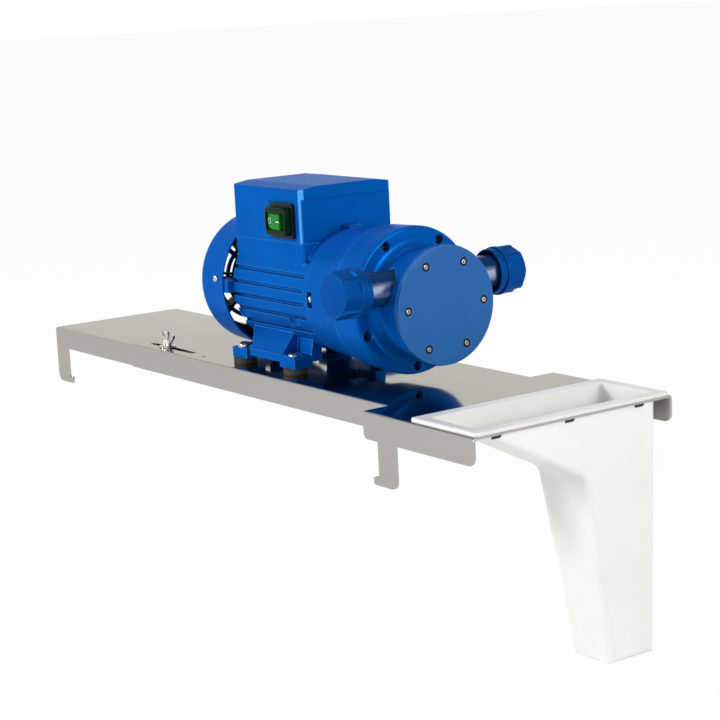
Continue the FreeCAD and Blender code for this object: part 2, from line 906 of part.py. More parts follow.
def make_clip(name, wall, out, y):
    # a snap clip: wedge outside the trough, stem in a blind hole in its wall
    level = clip_level()
    body = new_body(name + "_wedge")
    sketch = new_sketch(body, name + "_wedge_outline", "xz", (wall, level, s.clip_wide / 2 - y))
    high = s.clip_high / 2
    polygon(sketch, [
        (out * s.seat_gap, high),
        (out * s.clip_proud, high),
        (out * s.clip_proud, high * 0.2),
        (out * s.seat_gap, -high),
    ])
    pad(body, name + "_wedge_pad", sketch, s.clip_wide, backwards=True)
    deep = s.clip_deep - s.clip_play
    start = wall - deep if out > 0 else wall - s.seat_gap
    stem = cylinder(name + "_stem", "x", (start, y, level), deep + s.seat_gap, 3)
    return fuse(name, [body, stem])


# Mounting of the pump

def make_mounting():
    buffers = []
    bolts = []
    washers = []
    nuts = []
    pad_top = foot_plane + s.foot_thick
    under = sheet_under
    for number, (x, y) in enumerate(foot_bolt_places, 1):
        hole = s.foot_bolt_dia + 2 * s.seat_gap
        at = (x, y, plate_top)
        buffers.append(tube("buffer%d" % number, "z", at, s.buffer_high, s.buffer_dia, hole))
        at = (x, y, pad_top)
        washers.append(tube("foot_washer%d" % number, "z", at, 1.2, s.foot_washer_dia, hole))
        nut = hexagon("foot_nut%d_blank" % number, "z", (x, y, under - s.nut_high), s.nut_high, s.nut_across)
        bore = cylinder("foot_nut%d_bore" % number, "z", (x, y, under - s.nut_high), s.nut_high, hole)
        nuts.append(cut("foot_nut%d" % number, nut, bore))
        shank = pad_top + 1.2 - (under - s.nut_high - 2)
        head_high = s.foot_bolt_head * 0.25
        outline = [
            (-shank, 0),
            (-shank, s.foot_bolt_dia),
            (0, s.foot_bolt_dia),
            (0, s.foot_bolt_head),
            (head_high * 0.5, s.foot_bolt_head * 0.9),
            (head_high, s.foot_bolt_head * 0.55),
            (head_high, 3.4),
            (head_high - 1.8, 3.4),
            (head_high - 1.8, 0),
        ]
        bolts.append(lathe("foot_bolt%d" % number, "z", (x, y, pad_top + 1.2), outline))
    node("rubber_buffers", group("buffer_set", buffers))
    node("foot_washers", group("foot_washer_set", washers))
    node("foot_bolts", group("foot_bolt_set", bolts))
    node("foot_nuts", group("foot_nut_set", nuts))


# Motor

def radial_box(name, start, end, wide, inner, outer, angle):
    # a box that points away from the shaft line; angle 0 is up, 90 is towards -Y
    thing = doc.addObject("Part::Box", name)
    thing.Placement = FreeCAD.Placement(FreeCAD.Vector(), FreeCAD.Rotation(x_axis, angle))
    bind(thing, "Length", dim(end) - start)
    bind(thing, "Width", wide)
    bind(thing, "Height", dim(outer) - inner)
    across = math.cos(math.radians(angle))
    lengthwise = math.sin(math.radians(angle))
    half = dim(wide) / 2
    seat(thing, (start, -half * across - inner * lengthwise, axis_z - half * lengthwise + inner * across))
    return thing


def around(angle, radius):
    # y and z of a point at a radius from the shaft line; angle from +Y towards +Z
    y = dim(radius) * math.cos(math.radians(angle))
    z = axis_z + dim(radius) * math.sin(math.radians(angle))
    return y, z


lug_angles = (0, 90, 180, 270)


def core_dia():
    return s.frame_bore + 2 * s.frame_wall


def fin_dia():
    return core_dia() + 2 * s.fin_high


def lug_at():
    return s.frame_bore / 2 + s.lug_rise


def winding_dia():
    return s.frame_bore - 2 * s.winding_gap


def cowl_dia():
    return fin_dia() + 2 * s.cowl_gap + 2 * s.cowl_wall


def cowl_rear_dia():
    return cowl_dia() - 2 * s.cowl_taper


def fan_dia():
    return cowl_rear_dia() - 2 * s.cowl_wall - 2 * s.fan_gap


def make_motor_frame():
    rear = -s.frame_rear
    front = -s.frame_front
    long = s.frame_rear - s.frame_front
    skin = cylinder("frame_skin", "x", (rear, 0, axis_z), long, fin_dia())
    slabs = []
    for side in (-1, 1):
        for step in range(-3, 3):
            middle_z = axis_z + s.fin_pitch * (step + 0.5)
            if side < 0:
                low_y, high_y = -fin_dia(), dim(-10)
            else:
                low_y, high_y = dim(10), fin_dia()
            low = (rear - 1, low_y, middle_z - s.fin_groove / 2)
            high = (front - s.collar_long, high_y, middle_z + s.fin_groove / 2)
            slabs.append(box("groove_slab_%d_%d" % (side + 1, step + 3), low, high))
    core = cylinder("groove_floor", "x", (rear - 2, 0, axis_z), long + 4, core_dia())
    grooves = cut("fin_grooves", fuse("groove_slabs", slabs), core)
    finned = cut("frame_finned", skin, grooves)
    seam = axis_z + s.box_seat_high
    half = s.box_wide / 2
    seat_body = new_body("box_seat")
    sketch = new_sketch(seat_body, "box_seat_outline", "yz", (0, 0, -s.box_inner))
    polygon(sketch, [(-half, seam), (-half + 1.5, axis_z + 18), (half - 1.5, axis_z + 18), (half, seam)])
    pad(seat_body, "box_seat_pad", sketch, s.box_inner - s.box_outer)
    soften(seat_body, "box_seat_round", s.box_round, lambda edge: edge.BoundBox.ZLength > 20)
    lugs = []
    lug_foot = s.frame_bore / 2 - 6
    lug_top = lug_at() + s.lug_cover
    for angle in lug_angles[1:]:
        name = "frame_lug%d" % angle
        lugs.append(radial_box(name, front - s.lug_long, front, s.lug_wide, lug_foot, lug_top, 90 - angle))
    lugs.append(radial_box("frame_lug0", front - s.lug_long, front, s.lug_wide, lug_foot, lug_top, -90))
    solids = [finned, seat_body] + lugs
    for side, label in ((-1, "near"), (1, "far")):
        solids.append(make_foot(label, side))
    solid = fuse("frame_solid", solids)
    tools = [cylinder("frame_bore", "x", (rear - 1, 0, axis_z), long + 2, s.frame_bore)]
    tools.append(cylinder("shield_room", "x", (-s.box_inner - 1, 0, axis_z),
                          s.box_inner + 1 - s.frame_rear, core_dia() + 2 * s.seat_gap))
    for angle in lug_angles:
        y, z = around(angle, lug_at())
        tools.append(cylinder("lug_hole%d" % angle, "x", (front - s.lug_long - 3, y, z),
                              s.lug_long + 4, s.pan_screw_dia + 2 * s.seat_gap))
    for angle in lug_angles:
        y, z = around(angle, lug_at() - 0.5)
        tools.append(cylinder("shield_hole%d" % angle, "x", (rear - 1, y, z),
                              15, s.pan_screw_dia + 2 * s.seat_gap))
    tools.append(cylinder("frame_lead_hole", "z", (lead_x(), 0, axis_z + s.frame_bore / 2 - 3),
                          20, s.lead_hole_dia))
    for number, (x, y) in enumerate(foot_bolt_places, 1):
        tools.append(cylinder("foot_hole%d" % number, "z", (x, y, foot_plane - 1),
                              s.foot_thick + 2, s.foot_bolt_dia + 2 * s.seat_gap))
        tools.append(cylinder("foot_spot%d" % number, "z", (x, y, foot_plane + s.foot_thick),
                              s.ramp_top, s.foot_washer_dia + 1))
    node("motor_frame", cut("frame_casting", solid, fuse("frame_tools", tools)))


def make_foot(label, side):
    name = "foot_" + label
    start = -s.foot_mid - s.foot_long / 2
    end = -s.foot_mid + s.foot_long / 2

    def y_range(first, second):
        values = (side * dim(first), side * dim(second))
        return values if side > 0 else (values[1], values[0])

    def block(tag, x_low, x_high, outer, inner, z_low, z_high):
        low_y, high_y = y_range(inner, outer)
        return box("%s_%s" % (name, tag), (x_low, low_y, z_low), (x_high, high_y, z_high))
    inner_edge = s.foot_edge - s.foot_deep
    rib_edge = inner_edge + s.rib_lap
    top = foot_plane + s.foot_thick
    things = [
        block("rear_pad", start, start + s.pad_long, s.foot_edge, inner_edge, foot_plane, top),
        block("front_pad", end - s.pad_long, end, s.foot_edge, inner_edge, foot_plane, top),
        block("web", start + s.pad_long + s.notch_wide, end - 1, s.foot_edge, inner_edge - 4,
              foot_plane + s.web_lift, foot_plane + s.web_top),
        block("bridge", start + 2, end - 2, s.foot_edge - s.notch_deep, inner_edge - 4,
              foot_plane + s.web_lift, foot_plane + s.web_top),
    ]
    ramp = new_body(name + "_ramp")
    sketch = new_sketch(ramp, name + "_ramp_section", "yz", (0, 0, start - 2))
    foot_y = s.foot_edge - 2
    polygon(sketch, [
        (side * foot_y, foot_plane + s.web_top - 1),
        (side * (foot_y - s.ramp_lean), foot_plane + s.ramp_top),
        (side * (foot_y - s.ramp_lean - s.ramp_wall), foot_plane + s.ramp_top),
        (side * (foot_y - s.ramp_lean - s.ramp_wall), foot_plane + s.web_lift),
        (side * foot_y, foot_plane + s.web_lift),
    ])
    pad(ramp, name + "_ramp_pad", sketch, s.foot_long)
    face = new_body(name + "_ramp_face")
    sketch = new_sketch(face, name + "_ramp_outline", "xz", (0, 0, s.foot_edge + 5))
    web_start = start + s.pad_long + s.notch_wide
    rib_start = end - s.rib_long
    polygon(sketch, [
        (web_start, foot_plane),
        (web_start, foot_plane + s.web_top),
        (start + 6, foot_plane + s.ramp_top + 1),
        (rib_start, foot_plane + s.ramp_top + 1),
        (rib_start, foot_plane),
    ])
    pad(face, name + "_ramp_face_pad", sketch, 2 * s.foot_edge + 10, backwards=True)
    things.append(common(name + "_slope", ramp, face))
    rib = new_body(name + "_rib")
    sketch = new_sketch(rib, name + "_rib_section", "yz", (0, 0, rib_start - 1))
    polygon(sketch, [
        (side * rib_edge, foot_plane + s.web_lift),
        (side * (rib_edge - 5), foot_plane + s.ramp_top),
        (side * (rib_edge - s.ramp_wall), foot_plane + s.ramp_top),
        (side * (rib_edge - s.ramp_wall), foot_plane + s.web_lift),
    ])
    pad(rib, name + "_rib_pad", sketch, s.rib_long + 1)
    things.append(rib)
    return fuse(name, things)


def make_stator_and_rotor():
    start = -s.stack_mid - s.stack_long / 2
    end = -s.stack_mid + s.stack_long / 2
    outer = s.frame_bore - 2 * s.seat_gap
    node("stator_core", tube("stator_stack", "x", (start, 0, axis_z), s.stack_long, outer, s.stator_bore))
    coils = []
    coil_bore = s.stator_bore + 6
    coils.append(tube("coil_rear", "x", (start - s.winding_long, 0, axis_z), s.winding_long,
                      winding_dia(), coil_bore))
    coils.append(tube("coil_front", "x", (end, 0, axis_z), s.winding_long, winding_dia(), coil_bore))
    node("stator_windings", group("coil_heads", coils))
    rotor = cylinder("rotor_blank", "x", (start, 0, axis_z), s.stack_long, s.stator_bore - 2 * s.air_gap)
    rings = [cylinder("rotor_ring%d" % i, "x", (x, 0, axis_z), 6, s.stator_bore - 8)
             for i, x in enumerate((start - 6, end))]
    bore = cylinder("rotor_bore", "x", (start - 7, 0, axis_z), s.stack_long + 14,
                    s.rotor_shaft_dia + 2 * s.seat_gap)
    node("rotor_core", cut("rotor_cage", fuse("rotor_solid", [rotor] + rings), bore))


def rear_bearing_start():
    return -s.frame_rear - s.bearing_wide - 1


def front_bearing_start():
    return -s.frame_front - 4


def hub_start():
    return -s.frame_front + s.bearing_wide - 1


def make_shaft_and_bearings():
    journal = s.bearing_bore - 2 * s.seat_gap
    rear = rear_bearing_start()
    front = front_bearing_start()
    tip = -s.housing_front - 6
    points = [
        (-s.shaft_rear, 0),
        (-s.shaft_rear, journal),
        (rear + s.bearing_wide + 1, journal),
        (rear + s.bearing_wide + 1, s.rotor_shaft_dia),
        (front - 1, s.rotor_shaft_dia),
        (front - 1, journal),
        (tip, journal),
        (tip, 0),
    ]
    shaft = lathe("shaft_blank", "x", shaft_line, points)
    keyway_start = hub_start() + 1
    keyway = box("shaft_keyway", (keyway_start, -2, axis_z + journal / 2 - 2.5), (tip - 1, 2, axis_z + 10))
    node("motor_shaft", cut("shaft_turned", shaft, keyway))
    key_low = (keyway_start + s.seat_gap, -2 + s.seat_gap, axis_z + journal / 2 - 2.5 + s.seat_gap)
    key_high = (tip - 1 - s.seat_gap, 2 - s.seat_gap, axis_z + journal / 2 + 1.5)
    node("shaft_key", box("hub_key", key_low, key_high))
    outers = []
    inners = []
    balls = []
    pitch = (s.bearing_bore + s.bearing_dia) / 2
    for label, start in (("rear", rear), ("front", front)):
        at = (start, 0, axis_z)
        wide = s.bearing_wide
        inner_out = s.bearing_bore + 2 * s.ring_wall
        outer_in = s.bearing_dia - 2 * s.ring_wall
        track = s.ball_dia + 0.3
        outers.append(raced_ring(label + "_outer_race", at, wide, s.bearing_dia, outer_in, pitch, track))
        inners.append(raced_ring(label + "_inner_race", at, wide, inner_out, s.bearing_bore, pitch, track))
        for number in range(sizes["bearing_balls"]):
            y, z = around(360.0 * number / sizes["bearing_balls"], pitch / 2)
            balls.append(ball("%s_ball%d" % (label, number), (start + wide / 2, y, z), s.ball_dia))
    node("bearing_outer_rings", group("outer_races", outers))
    node("bearing_inner_rings", group("inner_races", inners))
    node("bearing_balls", group("ball_set", balls))


def raced_ring(name, at, wide, dia, bore, pitch, track):
    # a bearing ring with its ball track
    ring = tube(name + "_blank", "x", at, wide, dia, bore)
    groove = doc.addObject("Part::Torus", name + "_track")
    groove.Placement = FreeCAD.Placement(FreeCAD.Vector(), turned_to["x"])
    bind(groove, "Radius1", pitch / 2)
    bind(groove, "Radius2", track / 2)
    seat(groove, (at[0] + wide / 2, at[1], at[2]))
    return cut(name, ring, groove)


def make_rear_shield():
    start = rear_bearing_start()
    outside = -s.frame_rear
    seat_dia = s.bearing_dia + 2 * s.seat_gap
    points = [
        (start - 3, s.bearing_bore + 6),
        (start - 3, s.bearing_dia + 9),
        (outside - 6, s.bearing_dia + 9),
        (outside - 6, core_dia()),
        (outside, core_dia()),
        (outside, s.frame_bore - 2 * s.seat_gap),
        (outside + 5, s.frame_bore - 2 * s.seat_gap),
        (outside + 5, winding_dia()),
        (outside, winding_dia()),
        (outside, seat_dia),
        (start, seat_dia),
        (start, s.bearing_bore + 6),
    ]
    disc = lathe("shield_disc", "x", shaft_line, points)
    ears = []
    holes = []
    screws = []
    cowl_screws = []
    cowl_bore = cowl_dia() - 2 * s.cowl_wall
    for angle in lug_angles:
        name = "shield_ear%d" % angle
        reach = cowl_bore / 2
        ears.append(radial_box(name, -s.ear_rear, outside, s.ear_wide, fin_dia() / 2 - 8, reach + 1, 90 - angle))
        y, z = around(angle, lug_at() - 0.5)
        holes.append(cylinder(name + "_bore", "x", (outside - 6, y, z), 7, s.pan_screw_dia + 2 * s.seat_gap))
        holes.append(cylinder(name + "_head_room", "x", (-s.ear_rear - 1, y, z),
                              s.ear_rear - s.frame_rear - 5, s.pan_head_dia + 0.6))
        screws.append(pan_screw("shield_screw%d" % angle, (outside - 6, y, z), s.shield_screw_long, -1))
        turn = angle - 6 if angle == 180 else angle
        inner_y, inner_z = around(turn, reach - 7)
        tilt = FreeCAD.Rotation(x_axis, turn - 90)
        hole = cylinder("cowl_hole%d" % angle, "z", (-s.cowl_screw_at, inner_y, inner_z), reach, 3.2)
        hole.Placement = FreeCAD.Placement(hole.Placement.Base, tilt)
        holes.append(hole)
        cowl_screws.append(cowl_screw("cowl_screw%d" % angle, turn))
    trim = [
        cone("ear_trim_rear", "x", (-s.cowl_front - s.cowl_long, 0, axis_z), s.cowl_long,
             cowl_rear_dia() - 2 * s.cowl_wall - 2 * s.seat_gap, cowl_bore - 2 * s.seat_gap),
        cylinder("ear_trim_front", "x", (-s.cowl_front, 0, axis_z), s.cowl_front - s.frame_rear,
                 cowl_bore - 2 * s.seat_gap),
    ]
    fitted = common("ears_fitted", fuse("ears", ears), fuse("ear_trim", trim))
    node("rear_shield", cut("shield_machined", fuse("shield_solid", [disc, fitted]), fuse("shield_holes", holes)))
    node("shield_screws", group("shield_screw_set", screws))
    node("cowl_screws", group("cowl_screw_set", cowl_screws))


def cowl_screw(name, angle):
    # a radial screw through the cowl's wall into an ear
    share = (s.cowl_screw_at - s.cowl_front) / s.cowl_long
    start = cowl_dia() / 2 - (cowl_dia() - cowl_rear_dia()) / 2 * share - s.cowl_wall
    tilt = FreeCAD.Rotation(x_axis, angle - 90)
    y, z = around(angle, start - 6)
    shank = cylinder(name + "_shank", "z", (-s.cowl_screw_at, y, z), 8, 3)
    y, z = around(angle, start + s.cowl_wall + 3 * s.seat_gap)
    head = cylinder(name + "_head", "z", (-s.cowl_screw_at, y, z), 1.8, s.cowl_screw_head)
    for thing in (shank, head):
        thing.Placement = FreeCAD.Placement(thing.Placement.Base, tilt)
    return fuse(name, [shank, head])


def pan_screw(name, at, long, way):
    # a pan-head screw along X; way says to which side its head faces
    outline = [
        (0, 0),
        (0, s.pan_head_dia),
        (way * 1.6, s.pan_head_dia),
        (way * 2.8, s.pan_head_dia * 0.62),
        (way * 2.8, 0),
    ]
    head = lathe(name + "_head", "x", at, outline)
    start = at[0] - long if way > 0 else at[0]
    shank = cylinder(name + "_shank", "x", (start, at[1], at[2]), long, s.pan_screw_dia)
    return fuse(name, [head, shank])


def make_fan_and_cowl():
    rear = -s.fan_rear
    bore = s.bearing_bore
    hub = tube("fan_hub", "x", (rear + 2, 0, axis_z), s.fan_long - 2, 24, bore)
    plate = tube("fan_plate", "x", (rear + s.fan_long - 2, 0, axis_z), 2, fan_dia() * 0.7, bore)
    blades = []
    for number in range(sizes["fan_blades"]):
        angle = 360.0 * number / sizes["fan_blades"]
        blades.append(radial_box("fan_blade%d" % number, rear, rear + s.fan_long, 2, 11,
                                 fan_dia() / 2, angle))
    node("cooling_fan", fuse("fan_moulding", [hub, plate] + blades))
    front = -s.cowl_front
    back = -s.cowl_front - s.cowl_long
    wall = 2 * s.cowl_wall
    points = [
        (front, cowl_dia()),
        (back, cowl_rear_dia()),
        (back, 0),
        (back + s.cowl_wall, 0),
        (back + s.cowl_wall, cowl_rear_dia() - wall),
        (front, cowl_dia() - wall),
    ]
    corners = [(back, cowl_rear_dia(), s.cowl_round),
               (back + s.cowl_wall, cowl_rear_dia() - wall, s.cowl_round - s.cowl_wall)]
    drum = lathe("cowl_drum", "x", shaft_line, points, corners)
    rings = []
    for number, dia in enumerate((28, 48, 68, 88)):
        rings.append(tube("grille_ring%d" % number, "x", (back - 1, 0, axis_z), 5, dia + 6.4, dia - 6.4))
    spokes = []
    for number in range(8):
        spokes.append(radial_box("grille_spoke%d" % number, back - 2, back + 6, 4, 0, 60, 45.0 * number))
    grille = cut("grille_slots", fuse("grille_rings", rings), fuse("grille_spokes", spokes))
    holes = [grille]
    for angle in lug_angles:
        turn = angle - 6 if angle == 180 else angle
        y, z = around(turn, cowl_dia() / 2 - 8)
        hole = cylinder("cowl_wall_hole%d" % angle, "z", (-s.cowl_screw_at, y, z), 12, 3.2)
        hole.Placement = FreeCAD.Placement(hole.Placement.Base, FreeCAD.Rotation(x_axis, turn - 90))
        holes.append(hole)
    node("fan_cowl", cut("cowl_pierced", drum, fuse("cowl_holes", holes)))


# Terminal box and switch

def box_walls():
    # outside of the terminal box below its hood
    seam = axis_z + s.box_seat_high
    half = s.box_wide / 2 - s.cover_wall - s.seat_gap
    low = (-s.box_inner + s.cover_wall, -half, seam)
    high = (-s.box_outer - s.cover_wall / 2, half, seam + s.box_high)
    return low, high


def box_floor():
    return axis_z + s.box_seat_high + s.box_wall


def hump_dia():
    return fin_dia() + 2 * s.seat_gap + 2 * s.hump_thick


def lead_x():
    return -s.stack_mid + s.stack_long / 2 + s.winding_long / 2


def block_x():
    return -s.box_outer - 34


def make_terminal_box():
    low, high = box_walls()
    wall = s.box_wall
    block = box("terminal_box_block", low, high)
    inner_low = (low[0] + wall, low[1] + wall, box_floor())
    inner_high = (high[0] - wall, high[1] - wall, high[2] + 1)
    hollow = box("terminal_box_hollow", inner_low, inner_high)
    long = high[0] - low[0]
    hump = cylinder("terminal_box_hump", "x", (low[0], 0, axis_z), long, hump_dia())
    room = box("terminal_box_room", low, high)
    arch = common("terminal_box_arch", hump, room)
    pad_top = axis_z + hump_dia() / 2
    stand = box("terminal_stand", (block_x() - 1, -19, low[2]), (block_x() + 15, 27, pad_top))
    cast = fuse("terminal_box_solid", [cut("terminal_box_tray", block, hollow), arch, stand])
    saddle = cylinder("terminal_box_saddle", "x", (low[0] - 1, 0, axis_z), long + 2,
                      fin_dia() + 2 * s.seat_gap)
    half_w = s.case_wide / 2 + 0.2
    half_h = s.case_high / 2 + 0.2
    window_low = (-s.switch_at - half_w, low[1] - 1, switch_z() - half_h)
    window_high = (-s.switch_at + half_w, low[1] + wall + 1, switch_z() + half_h)
    window = box("terminal_box_window", window_low, window_high)
    gland_hole = cylinder("gland_hole", "y", (gland_x(), high[1] - wall - 1, gland_z()), wall + 2, 12.4)
    lead_hole = cylinder("lead_hole", "z", (lead_x(), 0, box_floor() - 1), 20, s.lead_hole_dia)
    tools = fuse("terminal_box_tools", [saddle, window, gland_hole, lead_hole])
    node("terminal_box", cut("terminal_box_cast", cast, tools))


def switch_z():
    return axis_z + s.switch_up


def gland_x():
    return -s.box_outer - s.gland_in


def gland_z():
    return box_floor() + 12


def cover_section(inset, low, high, crown_drop):
    half = s.box_wide / 2 - inset
    crown = s.crown_wide / 2
    shoulder = high - s.crown_high
    return [
        (-half, low),
        (-half, shoulder - crown_drop),
        (-crown, high - crown_drop),
        (crown, high - crown_drop),
        (half, shoulder - crown_drop),
        (half, low),
    ]


def make_box_cover():
    # An inverted channel: deep skirts on the long sides, a short band across both ends
    seam = axis_z + s.box_seat_high + s.seat_gap
    band = axis_z + s.box_seat_high + s.box_high + s.seat_gap
    top = axis_z + s.box_seat_high + s.box_high + s.band_high + s.crown_high
    body = new_body("box_cover_body")
    sketch = new_sketch(body, "cover_section", "yz", (0, 0, -s.box_inner))
    polygon(sketch, cover_section(dim(0), seam, top, dim(0)))
    pad(body, "cover_block", sketch, s.box_inner - s.box_outer)
    bevel(body, "cover_corners", s.box_round, lambda edge: along(edge, "z"))
    soften(body, "cover_shoulders", 1, lambda edge: along(edge, "x") and middle(edge).z > seam.value + 20)
    sketch = new_sketch(body, "cover_hollow", "yz", (0, 0, -s.box_outer + 1))
    inner_half = s.box_wide / 2 - s.cover_wall
    polygon(sketch, rectangle((-inner_half, seam - 5), (inner_half, band)))
    long = s.box_inner - s.box_outer + 2
    pocket(body, "cover_open_ends", sketch, long)
    sketch = new_sketch(body, "cover_ceiling", "yz", (0, 0, -s.box_outer - s.cover_wall))
    polygon(sketch, cover_section(s.cover_wall, seam, top - s.cover_wall, dim(0)))
    pocket(body, "cover_ceiling_cut", sketch, s.box_inner - s.box_outer - 2 * s.cover_wall)
    half = s.box_wide / 2
    half_w = s.case_wide / 2 + 0.2
    half_h = s.case_high / 2 + 0.2
    opening_low = (-s.switch_at - half_w, -half - 5, switch_z() - half_h)
    opening_high = (-s.switch_at + half_w, -half + 4, switch_z() + half_h)
    tools = [box("cover_switch_hole", opening_low, opening_high)]
    recess_low = (-s.switch_at - s.recess_wide / 2, -half - 5, switch_z() - s.recess_high / 2)
    recess_high = (-s.switch_at + s.recess_wide / 2, -half + s.recess_deep, switch_z() + s.recess_high / 2)
    tools.append(box("cover_switch_recess", recess_low, recess_high))
    tools.append(cylinder("cover_gland_hole", "y", (gland_x(), half - 5, gland_z()), 10, 12.4))
    screws = []
    for number, y in enumerate((-s.crown_wide / 2, s.crown_wide / 2)):
        z = band + s.band_high / 2
        at = (-s.box_inner - 0.1, y, z)
        tools.append(cylinder("cover_screw_hole%d" % number, "x", (-s.box_inner - 1, y, z), 8, 3.2))
        screws.append(small_screw("cover_screw%d" % number, at))
    node("box_cover", cut("box_cover_cast", body, fuse("cover_tools", tools)))
    node("cover_screws", group("cover_screw_set", screws))


def small_screw(name, at):
    outline = [(-2, 0), (-2, 3.6), (-1.2, 5.6), (0, 5.6), (0, 3), (6, 3), (6, 0)]
    return lathe(name, "x", at, outline)


def make_switch():
    face = -s.box_wide / 2
    x = -s.switch_at
    z = switch_z()

    def frame(name, wide, high, y_low, y_high, inner_wide, inner_high, radius):
        body = new_body(name)
        sketch = new_sketch(body, name + "_outline", "xz", (x, z, -dim(y_low)))
        half_w = dim(wide) / 2
        half_h = dim(high) / 2
        polygon(sketch, rectangle((-half_w, -half_h), (half_w, half_h)))
        pad(body, name + "_pad", sketch, y_high - y_low, backwards=True)
        soften(body, name + "_corners", radius, lambda edge: along(edge, "y"))
        sketch = new_sketch(body, name + "_opening", "xz", (x, z, -dim(y_low) + 1))
        in_w = dim(inner_wide) / 2
        in_h = dim(inner_high) / 2
        polygon(sketch, rectangle((-in_w, -in_h), (in_w, in_h)))
        pocket(body, name + "_hole", sketch, y_high - y_low + 2, backwards=False)
        return body

    back = face + s.recess_deep - 0.1
    bezel = frame("bezel_body", s.bezel_wide, s.bezel_high, face - s.bezel_proud, back,
                  s.boot_wide + 0.2, s.boot_high + 0.2, 2.5)
    node("switch_bezel", bezel)
    boot = frame("boot_body", s.boot_wide, s.boot_high, face - s.boot_proud, back,
                 s.boot_wide - 2 * s.boot_wall, s.rocker_high + 1.2, 3)
    node("switch_boot", boot)
    pivot_y = face + s.rocker_pivot
    tilt = -s.rocker_tilt
    reach = -s.rocker_proud - s.rocker_pivot
    half_w = s.rocker_wide / 2
    rocker = new_body("rocker_body")
    sketch = new_sketch(rocker, "rocker_section", "xy", (x, pivot_y, z - s.rocker_high / 2))
    corners = [
        (-half_w + 2, -1),
        (-half_w, reach),
        (0, reach + 1.2),
        (half_w, reach),
        (half_w - 2, -1),
    ]
    polygon(sketch, [(u * cosine(tilt) - v * sine(tilt), u * sine(tilt) + v * cosine(tilt))
                     for u, v in corners])
    pad(rocker, "rocker_pad", sketch, s.rocker_high)
    node("switch_rocker", rocker)
    half_case = s.case_wide / 2
    half_tall = s.case_high / 2
    front = face + s.rocker_pivot + 1
    low = (x - half_case, front, z - half_tall)
    high = (x + half_case, front + s.case_deep, z + half_tall)
    case = box("switch_case", low, high)
    lugs = []
    for number, offset in enumerate((-7, 0, 7)):
        lug_low = (x + offset - 0.4, front + s.case_deep, z - 3)
        lug_high = (x + offset + 0.4, front + s.case_deep + 6, z + 3)
        lugs.append(box("switch_lug%d" % number, lug_low, lug_high))
    node("switch_body", fuse("switch_case_solid", [case] + lugs))


def make_box_contents():
    reach = (hump_dia() + s.capacitor_dia) / 2 + s.seat_gap
    at = (-s.box_inner + 7, 0, axis_z + reach)
    can = cylinder("capacitor_can", "x", at, s.capacitor_long, s.capacitor_dia)
    node("capacitor", rounded("capacitor_round", can, 1.5, lambda edge: edge.Length > 50))
    floor = axis_z + hump_dia() / 2
    low = (block_x(), -18, floor)
    block = box("terminal_base", low, (low[0] + 14, low[1] + 44, floor + 7))
    posts = []
    for number in range(4):
        y = low[1] + 6 + 10.5 * number
        posts.append(cylinder("terminal_post%d" % number, "z", (low[0] + 7, y, floor + 7), 6, 6))
    node("terminal_block", fuse("terminal_block_solid", [block] + posts))
    half = s.box_wide / 2
    gland = lathe("gland_turned", "y", (gland_x(), half, gland_z()), [
        (-7, 8), (-7, 12), (0, 12), (0, 20), (7, 20), (7, 17), (13, 17), (17, 13), (17, 8)])
    node("cable_gland", gland)


# Pump head

def head_screw_places(circle_dia):
    return [around(angle, circle_dia / 2) for angle in (60, 120, 205, 270, 335)]


def make_drive_housing():
    rear = -s.frame_front
    front = -s.housing_front
    cavity = s.housing_front_dia - 2 * s.housing_wall - 4
    seat_dia = s.bearing_dia + 2 * s.seat_gap
    bearing = front_bearing_start()
    points = [
        (bearing - 2, s.bearing_dia + 8),
        (rear, s.bearing_dia + 8),
        (rear, s.housing_rear_dia),
        (front, s.housing_front_dia),
        (front, cavity),
        (rear + 10, cavity),
        (rear + 6, cavity - 8),
        (rear + 6, seat_dia),
        (bearing, seat_dia),
        (bearing, s.rotor_shaft_dia + 2),
        (bearing - 2, s.rotor_shaft_dia + 2),
    ]
    shell = lathe("housing_shell", "x", shaft_line, points)
    tools = []
    screws = []
    for angle in lug_angles:
        y, z = around(angle, lug_at())
        name = "housing_notch%d" % angle
        tools.append(radial_box(name, rear + 2.2, rear + s.screw_notch_long, s.screw_notch_wide, lug_at() - 5.2,
                                s.housing_front_dia, 90 - angle))
        tools.append(cylinder("housing_hole%d" % angle, "x", (rear - 1, y, z), 8,
                              s.pan_screw_dia + 2 * s.seat_gap))
        screws.append(pan_screw("housing_screw%d" % angle, (rear + 2.2, y, z), s.housing_screw_long, 1))
    for number, (y, z) in enumerate(head_screw_places(s.head_screw_circle), 1):
        tools.append(cylinder("housing_thread%d" % number, "x", (front - s.head_thread_deep, y, z),
                              s.head_thread_deep + 1, s.head_screw_dia + 2 * s.seat_gap))
    node("drive_housing", cut("housing_machined", shell, fuse("housing_tools", tools)))
    node("housing_screws", group("housing_screw_set", screws))


def make_carrier():
    rear = -s.housing_front
    front = -s.carrier_front
    opening = s.valve_recess_dia - 4
    lip = front + s.diaphragm_thick
    seat_dia = s.diaphragm_dia + 2 * s.seat_gap
    points = [
        (rear, opening),
        (rear, s.housing_front_dia + 1.2),
        (front, s.ring_rear_dia),
        (lip, s.ring_rear_dia),
        (lip, seat_dia),
        (front, seat_dia),
        (front, opening),
    ]
    ring = lathe("carrier_ring", "x", shaft_line, points)
    holes = [cylinder("carrier_hole%d" % i, "x", (rear - 1, y, z), 15, s.head_screw_dia + 2 * s.seat_gap)
             for i, (y, z) in enumerate(head_screw_places(s.head_screw_circle))]
    node("diaphragm_carrier", cut("carrier_drilled", ring, fuse("carrier_holes", holes)))


